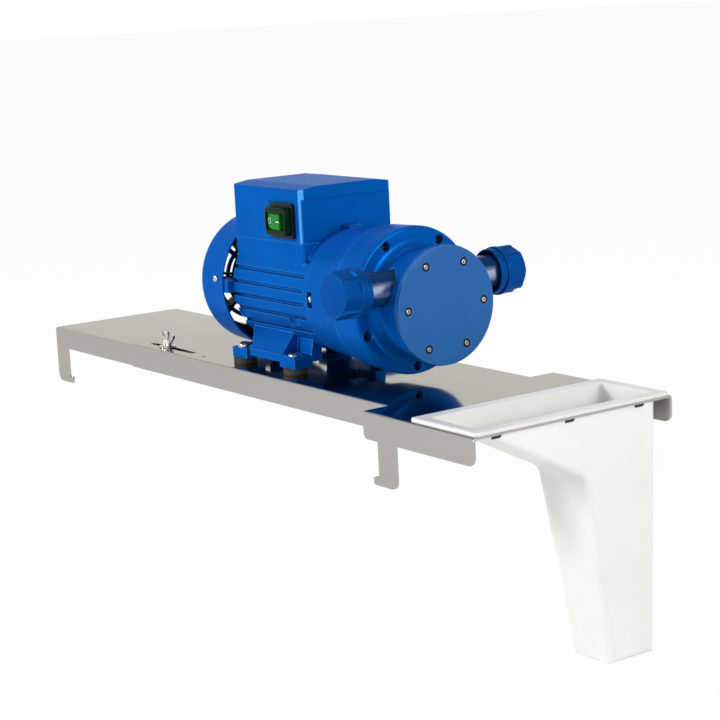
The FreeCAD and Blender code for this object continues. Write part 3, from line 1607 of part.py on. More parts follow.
def make_drive():
    journal = s.bearing_bore - 2 * s.seat_gap
    start = hub_start()
    end = -s.housing_front - 7
    sleeve = cylinder("hub_sleeve", "x", (start, 0, axis_z), end - start, s.bearing_bore + 9)
    middle_x = end - s.hub_bearing_wide / 2 - 0.5
    tilt = FreeCAD.Rotation(y_axis, 90 + sizes["journal_lean"])
    lean_x = math.sin(math.radians(90 + sizes["journal_lean"]))
    lean_z = math.cos(math.radians(90 + sizes["journal_lean"]))
    half = s.hub_bearing_wide / 2 - 0.5
    lump = cylinder("hub_journal", "z", (middle_x - half * lean_x, 0, axis_z - half * lean_z),
                    2 * half, s.journal_dia)
    lump.Placement = FreeCAD.Placement(lump.Placement.Base, tilt)
    bore = cylinder("hub_bore", "x", (start - 2, 0, axis_z), end - start + 4, journal + 2 * s.seat_gap)
    key_room = box("hub_keyway", (start - 2, -2, axis_z), (end + 2, 2, axis_z + journal / 2 + 1.7))
    hub = cut("hub_turned", fuse("hub_blank", [sleeve, lump]), fuse("hub_tools", [bore, key_room]))
    node("drive_hub", hub)
    ring_at = (middle_x - s.hub_bearing_wide / 2, 0, axis_z)
    node("hub_bearing", tube("hub_bearing_ring", "x", ring_at, s.hub_bearing_wide,
                             s.hub_bearing_dia, s.journal_dia + 2 * s.journal_gap))
    plate_back = -s.housing_front - s.wobble_thick + 1
    cup_start = middle_x - s.hub_bearing_wide / 2
    cup = tube("wobble_cup", "x", (cup_start, 0, axis_z), plate_back - cup_start + 1,
               s.hub_bearing_dia + 8, s.hub_bearing_dia + 2 * s.seat_gap)
    plate = cylinder("wobble_disc", "x", (plate_back, 0, axis_z), s.wobble_thick, s.wobble_dia)
    posts = []
    holes = []
    for number, (y, z) in enumerate(chamber_places()):
        posts.append(cylinder("wobble_post%d" % number, "x", (plate_back, y, z),
                              piston_back() - plate_back, s.piston_post_dia))
        holes.append(cylinder("wobble_thread%d" % number, "x", (plate_back - 1, y, z), 20, 4.2))
    centre = cylinder("wobble_relief", "x", (plate_back - 1, 0, axis_z), s.wobble_thick + 2, 20)
    node("wobble_plate", cut("wobble_cast", fuse("wobble_blank", [cup, plate] + posts),
                             fuse("wobble_holes", holes + [centre])))


def chamber_places():
    count = sizes["chambers"]
    return [around(90 + 360.0 * i / count, s.chamber_circle / 2) for i in range(count)]


def piston_back():
    return -s.carrier_front - 2


def make_diaphragm():
    start = -s.carrier_front
    sheet_body = cylinder("diaphragm_sheet", "x", (start, 0, axis_z), s.diaphragm_thick, s.diaphragm_dia)
    rolls = []
    holes = []
    discs = []
    screws = []
    for number, (y, z) in enumerate(chamber_places()):
        name = "chamber%d" % number
        roll = doc.addObject("Part::Torus", name + "_roll")
        roll.Placement = FreeCAD.Placement(FreeCAD.Vector(), turned_to["x"])
        bind(roll, "Radius1", s.piston_dia / 2 + 2.6)
        bind(roll, "Radius2", 2)
        seat(roll, (start + s.diaphragm_thick / 2, y, z))
        rolls.append(roll)
        holes.append(cylinder(name + "_hole", "x", (start - 3, y, z), 10, 4.2))
        back = tube(name + "_back_disc", "x", (piston_back(), y, z), 2, s.piston_dia - 4, 4.2)
        front = tube(name + "_front_disc", "x", (start + s.diaphragm_thick, y, z), 2, s.piston_dia - 4, 4.2)
        discs += [back, front]
        tip = start + s.diaphragm_thick + 2
        head = cylinder(name + "_screw_head", "x", (tip, y, z), 1.8, 7)
        shank = cylinder(name + "_screw_shank", "x", (tip - s.piston_screw_long, y, z), s.piston_screw_long,
                         s.piston_screw_dia)
        screws.append(fuse(name + "_screw", [head, shank]))
    solid = fuse("diaphragm_solid", [sheet_body] + rolls)
    node("diaphragm", cut("diaphragm_moulded", solid, fuse("diaphragm_holes", holes)))
    node("piston_discs", group("piston_disc_set", discs))
    node("piston_screws", group("piston_screw_set", screws))


def make_valve_plate():
    start = -s.carrier_front + s.diaphragm_thick
    end = start + s.valve_plate_thick
    disc = cylinder("valve_disc", "x", (start, 0, axis_z), s.valve_plate_thick, s.valve_recess_dia - 0.6)
    tools = []
    inlets = []
    outlets = []
    for number, (y, z) in enumerate(chamber_places()):
        name = "valve%d" % number
        tools.append(cylinder(name + "_chamber", "x", (start - 1, y, z), 7, s.piston_dia + 10))
        for label, side in (("in", -1), ("out", 1)):
            port_y = y + side * 8
            hole = name + "_" + label
            tools.append(cylinder(hole + "_hole", "x", (start, port_y, z), s.valve_plate_thick + 2, 5))
            if side < 0:
                flap_at = (start + 6 - 1.2, port_y, z)
                stem_at = (start + 6 - 1.2, port_y, z)
                stem_long = s.valve_plate_thick - 4
            else:
                flap_at = (end, port_y, z)
                stem_at = (start + 7, port_y, z)
                stem_long = s.valve_plate_thick - 6
            flap = cylinder(hole + "_flap", "x", flap_at, 1.2, 12)
            stem = cylinder(hole + "_stem", "x", stem_at, stem_long, 4.8)
            valve = fuse(hole + "_valve", [flap, stem])
            if side < 0:
                inlets.append(valve)
            else:
                outlets.append(valve)
    node("valve_plate", cut("valve_plate_moulded", disc, fuse("valve_tools", tools)))
    node("inlet_valves", group("inlet_valve_set", inlets))
    node("outlet_valves", group("outlet_valve_set", outlets))


def port_line():
    return -s.port_at, axis_z + s.port_up


def make_pump_head():
    rear = -s.carrier_front + s.diaphragm_thick
    shelf = rear + s.valve_plate_thick
    ring_front = -s.ring_front
    front = -s.boss_front
    plenum = s.valve_recess_dia - 12
    points = [
        (rear, s.valve_recess_dia),
        (rear, s.ring_rear_dia),
        (ring_front, s.ring_front_dia),
        (ring_front, s.boss_waist_dia),
        (ring_front + s.boss_fillet + 1, s.boss_waist_dia),
        (front, s.boss_front_dia),
        (front, s.chamber_dia),
        (shelf + 10, s.chamber_dia),
        (shelf + 6, plenum),
        (shelf, plenum),
        (shelf, s.valve_recess_dia),
    ]
    corners = [
        (ring_front, s.ring_front_dia, 2.5),
        (ring_front, s.boss_waist_dia, s.boss_fillet),
        (front, s.boss_front_dia, 1.2),
    ]
    shell = lathe("head_shell", "x", shaft_line, points, corners)
    divider_reach = s.chamber_dia / 2 + 0.2
    divider_low = (shelf + 1.6, -s.divider_thick / 2, axis_z - divider_reach)
    divider_high = (front - 0.5, s.divider_thick / 2, axis_z + divider_reach)
    divider = box("head_divider", divider_low, divider_high)
    port_x, port_z = port_line()
    bosses = []
    for label, side in (("near", -1), ("far", 1)):
        long = s.boss_waist_dia / 2 - s.fitting_root + 2
        y = -s.boss_waist_dia / 2 if side < 0 else s.fitting_root - 2
        bosses.append(cylinder("head_port_" + label, "y", (port_x, y, port_z), long, s.neck_dia + 8))
    inside = cylinder("head_port_limit", "x", (shelf, 0, axis_z), front - shelf - 0.5, s.boss_waist_dia - 1)
    ports = common("head_ports", fuse("head_port_bosses", bosses), inside)
    tools = []
    screws = []
    head_seat = ring_front - s.head_pocket_deep
    for number, (y, z) in enumerate(head_screw_places(s.head_screw_circle), 1):
        tools.append(cylinder("head_hole%d" % number, "x", (rear - 1, y, z), 60,
                              s.head_screw_dia + 2 * s.seat_gap))
        tools.append(cylinder("head_pocket%d" % number, "x", (head_seat, y, z), 30, s.head_pocket_dia))
        screws.append(socket_screw("head_screw%d" % number, (head_seat, y, z)))
    for number in range(sizes["disc_screws"]):
        y, z = around(360.0 * number / sizes["disc_screws"], s.disc_screw_circle / 2)
        tools.append(cylinder("disc_thread%d" % number, "x", (front - s.disc_screw_long, y, z),
                              s.disc_screw_long + 1,
                              s.disc_screw_dia + 2 * s.seat_gap))
    tools.append(cylinder("head_port_bore", "y", (port_x, -s.ring_front_dia, port_z),
                          2 * s.ring_front_dia, s.neck_dia + 2 * s.seat_gap))
    groove = tube("head_seal_groove", "x", (front - 1.6, 0, axis_z), 3, s.chamber_dia + 5, s.chamber_dia + 1)
    tools.append(groove)
    cut_body = cut("head_machined", fuse("head_solid", [shell, ports]), fuse("head_tools", tools))
    node("pump_head", fuse("head_casting", [cut_body, divider]))
    node("head_screws", group("head_screw_set", screws))
    seal = tube("front_seal", "x", (front - 1.6 + 0.1, 0, axis_z), 1.5, s.chamber_dia + 4.8, s.chamber_dia + 1.2)
    node("front_cover_seal", seal)


def socket_screw(name, at):
    long = at[0] + s.housing_front + s.head_thread_deep - 1
    head = cylinder(name + "_head", "x", at, s.head_screw_dia, s.head_screw_head)
    shank = cylinder(name + "_shank", "x", (at[0] - long, at[1], at[2]), long + 1, s.head_screw_dia)
    socket = hexagon(name + "_socket", "x", (at[0] + s.head_screw_dia - 2.2, at[1], at[2]), 4,
                     s.head_screw_hex)
    return cut(name, fuse(name + "_blank", [head, shank]), socket)


def make_front_cover():
    start = -s.boss_front
    disc = lathe("cover_disc", "x", shaft_line, [
        (start, 0), (start, s.disc_dia), (start + s.disc_thick, s.disc_dia), (start + s.disc_thick, 0),
    ], [(start + s.disc_thick, s.disc_dia, 0.8)])
    holes = []
    screws = []
    front = start + s.disc_thick
    for number in range(sizes["disc_screws"]):
        y, z = around(360.0 * number / sizes["disc_screws"], s.disc_screw_circle / 2)
        name = "disc_screw%d" % number
        depth = (s.disc_screw_head - s.disc_screw_dia) / 2
        holes.append(cylinder(name + "_hole", "x", (start - 1, y, z), 6, s.disc_screw_dia + 2 * s.seat_gap))
        holes.append(cone(name + "_sink", "x", (front - depth - 0.4, y, z), depth + 0.5,
                          s.disc_screw_dia + 0.2, s.disc_sink_dia))
        head = cone(name + "_head", "x", (front - depth - 0.3, y, z), depth, s.disc_screw_dia, s.disc_screw_head)
        shank = cylinder(name + "_shank", "x", (front - s.disc_screw_long, y, z), s.disc_screw_long - 0.4,
                         s.disc_screw_dia)
        socket = hexagon(name + "_socket", "x", (front - 1.8, y, z), 3, 2.5)
        screws.append(cut(name, fuse(name + "_blank", [head, shank]), socket))
    node("front_cover", cut("front_disc", disc, fuse("disc_holes", holes)))
    node("front_cover_screws", group("disc_screw_set", screws))


def make_ports():
    port_x, port_z = port_line()
    seals = []
    for label, side, fitting_name in (("near", -1, "inlet_fitting"), ("far", 1, "outlet_fitting")):
        end = s.port_end - s.cap_wall - s.cap_seal_thick - s.cap_gap
        thread_start = end - s.thread_long
        ring_at = s.fitting_root + 3.5
        ring_dia = s.neck_dia - 3
        points = [
            (side * s.fitting_root, s.port_bore),
            (side * s.fitting_root, s.neck_dia),
            (side * ring_at, s.neck_dia),
            (side * ring_at, ring_dia),
            (side * (ring_at + s.port_ring), ring_dia),
            (side * (ring_at + s.port_ring), s.neck_dia),
            (side * thread_start, s.neck_dia),
            (side * thread_start, s.thread_dia),
            (side * end, s.thread_dia),
            (side * end, s.port_bore),
        ]
        at = (port_x, 0, port_z)
        node(fitting_name, lathe("fitting_" + label, "y", at, points, [(side * end, s.thread_dia, 0.8)]))
        seal_long = s.port_ring - 2 * s.seat_gap
        seal_at = ring_at + s.seat_gap if side > 0 else -ring_at - s.port_ring + s.seat_gap
        seals.append(tube("fitting_seal_" + label, "y", (port_x, seal_at, port_z), seal_long,
                          s.neck_dia, ring_dia + 2 * s.seat_gap))
        make_cap(label, side)
    node("fitting_seals", group("fitting_seal_set", seals))


def make_cap(label, side):
    port_x, port_z = port_line()
    end = side * s.port_end
    mouth = side * (s.port_end - s.cap_long)
    ceiling = side * (s.port_end - s.cap_wall)
    bore = s.thread_dia + 2 * s.cap_gap
    collar_end = side * (s.port_end - s.cap_long + s.cap_collar_long)
    groove_end = side * (s.port_end - s.cap_long + s.cap_collar_long + 1)
    points = [
        (mouth, bore),
        (mouth, s.cap_collar_dia),
        (collar_end, s.cap_collar_dia),
        (collar_end, s.cap_collar_dia - 1.4),
        (groove_end, s.cap_collar_dia - 1.4),
        (groove_end, s.cap_dia),
        (end, s.cap_dia),
        (end, 0),
        (ceiling, 0),
        (ceiling, bore),
    ]
    corners = [(end, s.cap_dia, 2), (groove_end, s.cap_dia, 0.8), (mouth, s.cap_collar_dia, 0.8)]
    blank = lathe("cap_%s_blank" % label, "y", (port_x, 0, port_z), points, corners)
    windows = []
    count = sizes["cap_windows"]
    start = end - side * (s.cap_window_long + 2.6)
    for number in range(count):
        angle = 360.0 / count * (number + 0.5)
        name = "cap_%s_window%d" % (label, number)
        thing = doc.addObject("Part::Box", name)
        thing.Placement = FreeCAD.Placement(FreeCAD.Vector(), FreeCAD.Rotation(y_axis, angle))
        wide = s.cap_dia * 0.27
        bind(thing, "Length", wide)
        bind(thing, "Width", s.cap_window_long)
        bind(thing, "Height", 8)
        c = math.cos(math.radians(angle))
        t = math.sin(math.radians(angle))
        lift = s.cap_dia / 2 - s.cap_rib_deep
        low_y = start if side > 0 else start - s.cap_window_long
        seat(thing, (port_x - wide / 2 * c + lift * t, low_y, port_z + wide / 2 * t + lift * c))
        windows.append(thing)
    node("port_cap_" + label, cut("cap_" + label, blank, fuse("cap_%s_windows" % label, windows)))
    seal_y = s.port_end - s.cap_wall - s.cap_seal_thick if side > 0 else -s.port_end + s.cap_wall
    seal = cylinder("cap_%s_seal" % label, "y", (port_x, seal_y, port_z), s.cap_seal_thick,
                    s.thread_dia - 1)
    node("cap_seal_" + label, seal)


def check_and_export():
    doc.recompute()
    for thing in doc.Objects:
        if "Invalid" in thing.State or "Error" in thing.State:
            raise RuntimeError("%s failed: %s" % (thing.Label, thing.State))
    for name, thing in nodes.items():
        if thing.Shape.isNull() or not thing.Shape.isValid() or not thing.Shape.Solids:
            raise RuntimeError("%s has no sound shape" % name)
    os.makedirs("parts", exist_ok=True)
    for name, thing in nodes.items():
        thing.Shape.exportStep("parts/%s.step" % name)
    print(len(nodes), "pieces written")


make_console_plate()
make_slide_plate()
make_slide_bolts()
make_wing_nuts()
make_nozzle_holder()
make_mounting()
make_motor_frame()
make_stator_and_rotor()
make_shaft_and_bearings()
make_rear_shield()
make_fan_and_cowl()
make_terminal_box()
make_box_cover()
make_switch()
make_box_contents()
make_drive_housing()
make_carrier()
make_drive()
make_diaphragm()
make_valve_plate()
make_pump_head()
make_front_cover()
make_ports()
check_and_export()
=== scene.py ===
import json
import math

import bmesh
import bpy
from mathutils import Matrix, Vector


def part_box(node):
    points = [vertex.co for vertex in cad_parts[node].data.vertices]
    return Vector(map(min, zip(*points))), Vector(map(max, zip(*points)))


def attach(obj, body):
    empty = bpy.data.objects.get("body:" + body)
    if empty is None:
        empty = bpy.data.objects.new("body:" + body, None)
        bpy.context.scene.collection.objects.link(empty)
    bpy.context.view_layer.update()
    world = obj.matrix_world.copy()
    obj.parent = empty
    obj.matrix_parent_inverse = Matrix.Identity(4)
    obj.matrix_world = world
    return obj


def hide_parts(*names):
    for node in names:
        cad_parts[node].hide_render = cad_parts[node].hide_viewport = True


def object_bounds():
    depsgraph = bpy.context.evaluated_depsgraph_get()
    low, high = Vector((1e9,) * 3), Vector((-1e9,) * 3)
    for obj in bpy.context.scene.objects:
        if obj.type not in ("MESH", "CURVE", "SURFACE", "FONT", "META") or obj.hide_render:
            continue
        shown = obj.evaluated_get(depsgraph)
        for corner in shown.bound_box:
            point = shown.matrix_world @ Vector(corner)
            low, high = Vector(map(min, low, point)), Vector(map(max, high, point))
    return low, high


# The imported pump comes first, because every place below is read from it
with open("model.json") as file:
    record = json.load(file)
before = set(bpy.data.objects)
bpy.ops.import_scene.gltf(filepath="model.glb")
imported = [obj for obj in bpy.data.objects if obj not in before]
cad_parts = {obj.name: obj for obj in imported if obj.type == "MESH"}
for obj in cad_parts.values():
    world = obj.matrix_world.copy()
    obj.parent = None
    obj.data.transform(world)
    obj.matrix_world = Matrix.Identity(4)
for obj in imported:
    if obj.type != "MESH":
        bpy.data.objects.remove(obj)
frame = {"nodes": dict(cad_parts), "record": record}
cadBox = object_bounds()
nodes = frame["nodes"]
mm = 0.001
weldGap = 0.004 * mm        # points nearer than this become one
sameLevel = 0.05 * mm       # points this near to a height count as on it


def addNode(tree, kind, inputs=None, **settings):
    # a node with its settings, and with each named input linked or set
    node = tree.nodes.new(kind)
    for name, value in settings.items():
        setattr(node, name, value)
    for name, value in (inputs or {}).items():
        if isinstance(value, bpy.types.NodeSocket):
            tree.links.new(value, node.inputs[name])
        else:
            node.inputs[name].default_value = value
    return node


def newGroup(name, inputs, outputs, kind="ShaderNodeTree"):
    # an empty node group with its named sockets: {name: (socket type, value)}
    group = bpy.data.node_groups.new(name, kind)
    for label, (socket, value) in inputs.items():
        item = group.interface.new_socket(label, in_out="INPUT", socket_type=socket)
        if value is not None:
            item.default_value = value
    for label, socket in outputs.items():
        group.interface.new_socket(label, in_out="OUTPUT", socket_type=socket)
    return group, group.nodes.new("NodeGroupInput").outputs, group.nodes.new("NodeGroupOutput").inputs


def maths(tree, operation, first, second=0.0, clamp=False):
    return addNode(tree, "ShaderNodeMath", {0: first, 1: second}, operation=operation, use_clamp=clamp).outputs[0]


def newMaterial(name):
    material = bpy.data.materials.new(name)
    material.use_nodes = True
    material.node_tree.nodes.clear()
    return material, material.node_tree


# Camera, fitted to the photograph by the edges of the steel plates
photoView = {
    "azimuth": 54.62,                       # degrees round the pump, 0 looks along +Y
    "elevation": 10.8,
    "roll": -2.77,
    "target": (-0.17638, 0.0224, 0.022),    # metres
    "distance": 1.70474,
    "lens": 96.18,
    "sensor": 36,
}


def makeCamera():
    azimuth, elevation, roll = (math.radians(photoView[k]) for k in ("azimuth", "elevation", "roll"))
    back = Vector((
        math.sin(azimuth) * math.cos(elevation),
        -math.cos(azimuth) * math.cos(elevation),
        math.sin(elevation),
    ))
    level = Vector((math.cos(azimuth), math.sin(azimuth), 0))
    upright = back.cross(level)
    side = level * math.cos(roll) + upright * math.sin(roll)
    top = upright * math.cos(roll) - level * math.sin(roll)
    data = bpy.data.cameras.new("photoCamera")
    data.lens = photoView["lens"]
    data.sensor_width = photoView["sensor"]
    camera = bpy.data.objects.new("photoCamera", data)
    place = Matrix((side, top, back)).transposed().to_4x4()
    place.translation = Vector(photoView["target"]) + back * photoView["distance"]
    camera.matrix_world = place
    bpy.context.scene.collection.objects.link(camera)
    bpy.context.scene.camera = camera


# Studio: a pale floor, soft lamps at the front left, the right and overhead
studio = {
    "floorDrop": 0.4 * mm,      # below the holder's tip
    "floorSize": 60,            # metres
    "floorPaper": (0.9, 0.9, 0.9, 1),
    "floorGlow": 0.95,          # share of plain white in the floor that the camera sees
    "ambient": 0.29,            # the room's light on the pump, where 1 is white
    "whiteUpTo": 0.42,          # sines of the heights where the white backdrop ends and the dark ceiling starts
    "darkFrom": 0.76,
    "ceiling": 0.12,
    "lamps": {
        # name: (place, size in metres, watts)
        "keyLamp": ((-1.2, -2.6, 1.05), 0.8, 64),
        "sideLamp": ((4.9, 0.95, 1.7), 2.0, 145),
        "topLamp": ((-0.3, 0.5, 2.4), 1.8, 10),
        "edgeLamp": ((1.15, -1.85, 0.2), 0.36, 6),
    },
    "aim": (-0.2, 0, 0.05),
}


def seenDirectly(tree, *kinds):
    # 1 for the rays of these kinds, 0 for the others
    rays = addNode(tree, "ShaderNodeLightPath")
    seen = rays.outputs[kinds[0]]
    for kind in kinds[1:]:
        seen = maths(tree, "MAXIMUM", seen, rays.outputs[kind])
    return seen


def makeFloor():
    z = cadBox[0].z - studio["floorDrop"]
    half = studio["floorSize"] / 2
    mesh = bpy.data.meshes.new("floor")
    mesh.from_pydata([(-half, -half, z), (half, -half, z), (half, half, z), (-half, half, z)], [], [(0, 1, 2, 3)])
    floor = bpy.data.objects.new("floor", mesh)
    bpy.context.scene.collection.objects.link(floor)
    material, tree = newMaterial("floorPaper")
    paper = addNode(tree, "ShaderNodeBsdfDiffuse", {"Color": studio["floorPaper"]})
    glow = addNode(tree, "ShaderNodeEmission", {"Color": (1, 1, 1, 1), "Strength": 1})
    seen = seenDirectly(tree, "Is Camera Ray", "Is Glossy Ray", "Is Transmission Ray")
    share = maths(tree, "MULTIPLY", seen, studio["floorGlow"])
    mix = addNode(tree, "ShaderNodeMixShader", {0: share, 1: paper.outputs[0], 2: glow.outputs[0]})
    addNode(tree, "ShaderNodeOutputMaterial", {"Surface": mix.outputs[0]})
    mesh.materials.append(material)


def makeRoom():
    world = bpy.data.worlds.new("whiteRoom")
    world.use_nodes = True
    tree = world.node_tree
    tree.nodes.clear()
    direction = addNode(tree, "ShaderNodeTexCoord").outputs["Generated"]
    up = addNode(tree, "ShaderNodeSeparateXYZ", {0: direction}).outputs["Z"]
    backdrop = addNode(tree, "ShaderNodeMapRange", {
        "Value": up, "From Min": studio["whiteUpTo"], "From Max": studio["darkFrom"],
        "To Min": 1.0, "To Max": studio["ceiling"]}, interpolation_type="SMOOTHSTEP")
    seen = seenDirectly(tree, "Is Camera Ray", "Is Glossy Ray", "Is Transmission Ray")
    strength = addNode(tree, "ShaderNodeMapRange", {
        "Value": seen, "To Min": studio["ambient"], "To Max": backdrop.outputs["Result"]})
    sky = addNode(tree, "ShaderNodeBackground", {"Color": (1, 1, 1, 1), "Strength": strength.outputs["Result"]})
    addNode(tree, "ShaderNodeOutputWorld", {"Surface": sky.outputs[0]})
    bpy.context.scene.world = world
    bpy.context.scene.view_settings.view_transform = "Standard"
    aim = Vector(studio["aim"])
    for name, (place, size, watts) in studio["lamps"].items():
        data = bpy.data.lights.new(name, "AREA")
        data.shape = "DISK"
        data.size = size
        data.energy = watts
        lamp = bpy.data.objects.new(name, data)
        lamp.location = place
        lamp.rotation_euler = (aim - Vector(place)).to_track_quat("-Z", "Y").to_euler()
        bpy.context.scene.collection.objects.link(lamp)


# Shader groups that the finishes share
grainLook = {
    "details": {"Coarse size": 2.0, "Fine size": 3.0}, "roughness": 0.55,
    "patchScale": 22.0, "patchDetail": 3.0,         # slow patches, about this many to a metre
}
dustLook = {"colour": (0.45, 0.46, 0.47), "falloff": 3.0, "detail": 4.0}


def makeGrainGroup():
    # height of a fine skin and a slow patchiness, sizes in metres
    group, given, wanted = newGroup("skinGrain", {
        "Coarse size": ("NodeSocketFloat", 0.003),
        "Fine size": ("NodeSocketFloat", 0.0006),
        "Coarse share": ("NodeSocketFloat", 0.5),
        "Stretch": ("NodeSocketVector", (1, 1, 1)),
    }, {"Height": "NodeSocketFloat", "Patch": "NodeSocketFloat"})
    place = addNode(group, "ShaderNodeTexCoord").outputs["Object"]
    drawn = addNode(group, "ShaderNodeVectorMath", {0: place, 1: given["Stretch"]}, operation="MULTIPLY").outputs[0]
    layers = []
    for size, detail in grainLook["details"].items():
        scale = maths(group, "DIVIDE", 1.0, given[size])
        layers.append(addNode(group, "ShaderNodeTexNoise", {
            "Vector": drawn, "Scale": scale, "Detail": detail, "Roughness": grainLook["roughness"]}).outputs["Fac"])
    coarse = maths(group, "MULTIPLY", layers[0], given["Coarse share"])
    rest = maths(group, "SUBTRACT", 1.0, given["Coarse share"])
    fine = maths(group, "MULTIPLY", layers[1], rest)
    group.links.new(maths(group, "ADD", coarse, fine), wanted["Height"])
    slow = addNode(group, "ShaderNodeTexNoise", {
        "Vector": drawn, "Scale": grainLook["patchScale"], "Detail": grainLook["patchDetail"]})
    group.links.new(slow.outputs["Fac"], wanted["Patch"])
    return group


def makeEdgeGroup():
    # the rounding of an edge as a normal, and how near an edge a point is, which places the painted edge highlight
    group, given, wanted = newGroup("edgeRoundingAndSheen", {
        "Radius": ("NodeSocketFloat", 0.0008),
        "Reach": ("NodeSocketFloat", 6.0),
    }, {"Normal": "NodeSocketVector", "Edge": "NodeSocketFloat"})
    rounded = addNode(group, "ShaderNodeBevel", {"Radius": given["Radius"]}, samples=4).outputs["Normal"]
    flat = addNode(group, "ShaderNodeNewGeometry").outputs["Normal"]
    along = addNode(group, "ShaderNodeVectorMath", {0: rounded, 1: flat}, operation="DOT_PRODUCT").outputs["Value"]
    turned = maths(group, "SUBTRACT", 1.0, along)
    group.links.new(maths(group, "MULTIPLY", turned, given["Reach"], clamp=True), wanted["Edge"])
    group.links.new(rounded, wanted["Normal"])
    return group


def makeDustGroup():
    # a thin haze that lies on faces that look up
    group, given, wanted = newGroup("settledDust", {
        "Amount": ("NodeSocketFloat", 0.1),
        "Patch size": ("NodeSocketFloat", 0.02),
    }, {"Haze": "NodeSocketFloat"})
    normal = addNode(group, "ShaderNodeNewGeometry").outputs["Normal"]
    up = addNode(group, "ShaderNodeSeparateXYZ", {0: normal}).outputs["Z"]
    facing = maths(group, "POWER", maths(group, "MAXIMUM", up, 0.0), dustLook["falloff"])
    place = addNode(group, "ShaderNodeTexCoord").outputs["Object"]
    scale = maths(group, "DIVIDE", 1.0, given["Patch size"])
    patch = addNode(group, "ShaderNodeTexNoise", {"Vector": place, "Scale": scale, "Detail": dustLook["detail"]})
    haze = maths(group, "MULTIPLY", facing, patch.outputs["Fac"])
    haze = maths(group, "MULTIPLY", haze, given["Amount"], clamp=True)
    group.links.new(haze, wanted["Haze"])
    return group


def useGroup(tree, group, inputs):
    node = tree.nodes.new("ShaderNodeGroup")
    node.node_tree = group
    for name, value in inputs.items():
        node.inputs[name].default_value = value
    return node.outputs


# Finishes, with colours in linear RGB and lengths in metres.
# colour and shade take turns in slow patches; edge is a painted highlight along edges, partly edge wear, and bevel is
# a painted highlight on upright bevels.
# rough is (smoothest, roughest), and grain is (coarse size, fine size, share of the coarse one).
# stretch draws the grain out, depth is its height, and round is the radius of a rounded edge.
# dust is the haze on faces that look up, and glow is (share, reach) of light that goes through the skin.
# gloss and tint are the strength and colour of the plain reflection, and metal is the share of a metal one.
finishes = {
    "blue_casting": {
        "colour": (0.0008, 0.099, 0.43), "shade": (0.0008, 0.086, 0.375), "edge": (0.07, 0.38, 0.92),
        "rough": (0.27, 0.38), "grain": (0.0032, 0.0007, 0.55), "depth": 0.00005, "round": 0.0011,
        "dust": 0.02, "gloss": 0.014, "tint": (0.1, 0.5, 1.0), "metal": 0.3,
    },
    "hood_paint": {
        "colour": (0.0008, 0.099, 0.43), "shade": (0.0008, 0.086, 0.375), "edge": (0.01, 0.17, 0.58),
        "rough": (0.26, 0.38), "grain": (0.0032, 0.0007, 0.55), "depth": 0.00006, "round": 0.0011,
        "dust": 0.02, "gloss": 0.014, "tint": (0.1, 0.5, 1.0), "metal": 0.3, "bevel": (0.06, 0.26, 0.68),
    },
    "blue_plastic": {
        "colour": (0.0008, 0.097, 0.425), "shade": (0.0008, 0.086, 0.38), "edge": (0.05, 0.30, 0.78),
        "rough": (0.22, 0.32), "grain": (0.0016, 0.0005, 0.4), "depth": 0.00005, "round": 0.0007,
        "dust": 0.015, "gloss": 0.016, "tint": (0.1, 0.5, 1.0), "metal": 0.3,
    },
    "pale_blue_disc": {
        "colour": (0.022, 0.128, 0.39), "shade": (0.019, 0.117, 0.36), "edge": (0.30, 0.55, 0.85),
        "rough": (0.30, 0.38), "grain": (0.0012, 0.0004, 0.4), "depth": 0.00003, "round": 0.0005,
        "gloss": 0.12,
    },
    "dark_blue_plastic": {
        "colour": (0.001, 0.072, 0.33), "shade": (0.001, 0.056, 0.26), "edge": (0.02, 0.20, 0.60),
        "rough": (0.26, 0.38), "grain": (0.0014, 0.0005, 0.4), "depth": 0.00007, "round": 0.0008,
        "dust": 0.02, "gloss": 0.03, "tint": (0.1, 0.5, 1.0), "metal": 0.25,
    },
    "white_plastic": {
        "colour": (0.85, 0.85, 0.83), "shade": (0.82, 0.825, 0.80), "edge": (0.9, 0.9, 0.89),
        "rough": (0.32, 0.42), "grain": (0.004, 0.0009, 0.6), "depth": 0.00006, "round": 0.0008,
        "glow": (0.25, 0.012),
    },
    "black_plastic": {
        "colour": (0.014, 0.014, 0.015), "shade": (0.01, 0.01, 0.011), "edge": (0.05, 0.05, 0.052),
        "rough": (0.34, 0.46), "grain": (0.001, 0.0004, 0.4), "depth": 0.00004, "round": 0.0004,
        "dust": 0.02, "gloss": 0.15,
    },
    "green_plastic": {
        "colour": (0.002, 0.19, 0.016), "shade": (0.002, 0.155, 0.013), "edge": (0.01, 0.30, 0.04),
        "rough": (0.16, 0.22), "grain": (0.002, 0.0006, 0.4), "depth": 0.00001, "round": 0.0004,
        "gloss": 0.06,
    },
    "green_cover": {
        "colour": (0.001, 0.021, 0.005), "shade": (0.001, 0.014, 0.003), "edge": (0.10, 0.22, 0.12),
        "rough": (0.12, 0.2), "grain": (0.004, 0.001, 0.5), "depth": 0.00001, "round": 0.0009,
        "gloss": 0.08,
    },
    "black_rubber": {
        "colour": (0.022, 0.022, 0.023), "shade": (0.016, 0.016, 0.017), "edge": (0.04, 0.04, 0.042),
        "rough": (0.62, 0.76), "grain": (0.0018, 0.0005, 0.5), "depth": 0.00008, "round": 0.0006,
        "dust": 0.06,
    },
    "pale_plastic": {
        "colour": (0.66, 0.66, 0.63), "shade": (0.6, 0.6, 0.57), "edge": (0.72, 0.72, 0.7),
        "rough": (0.36, 0.46), "grain": (0.002, 0.0006, 0.4), "depth": 0.00004, "round": 0.0004,
    },
}

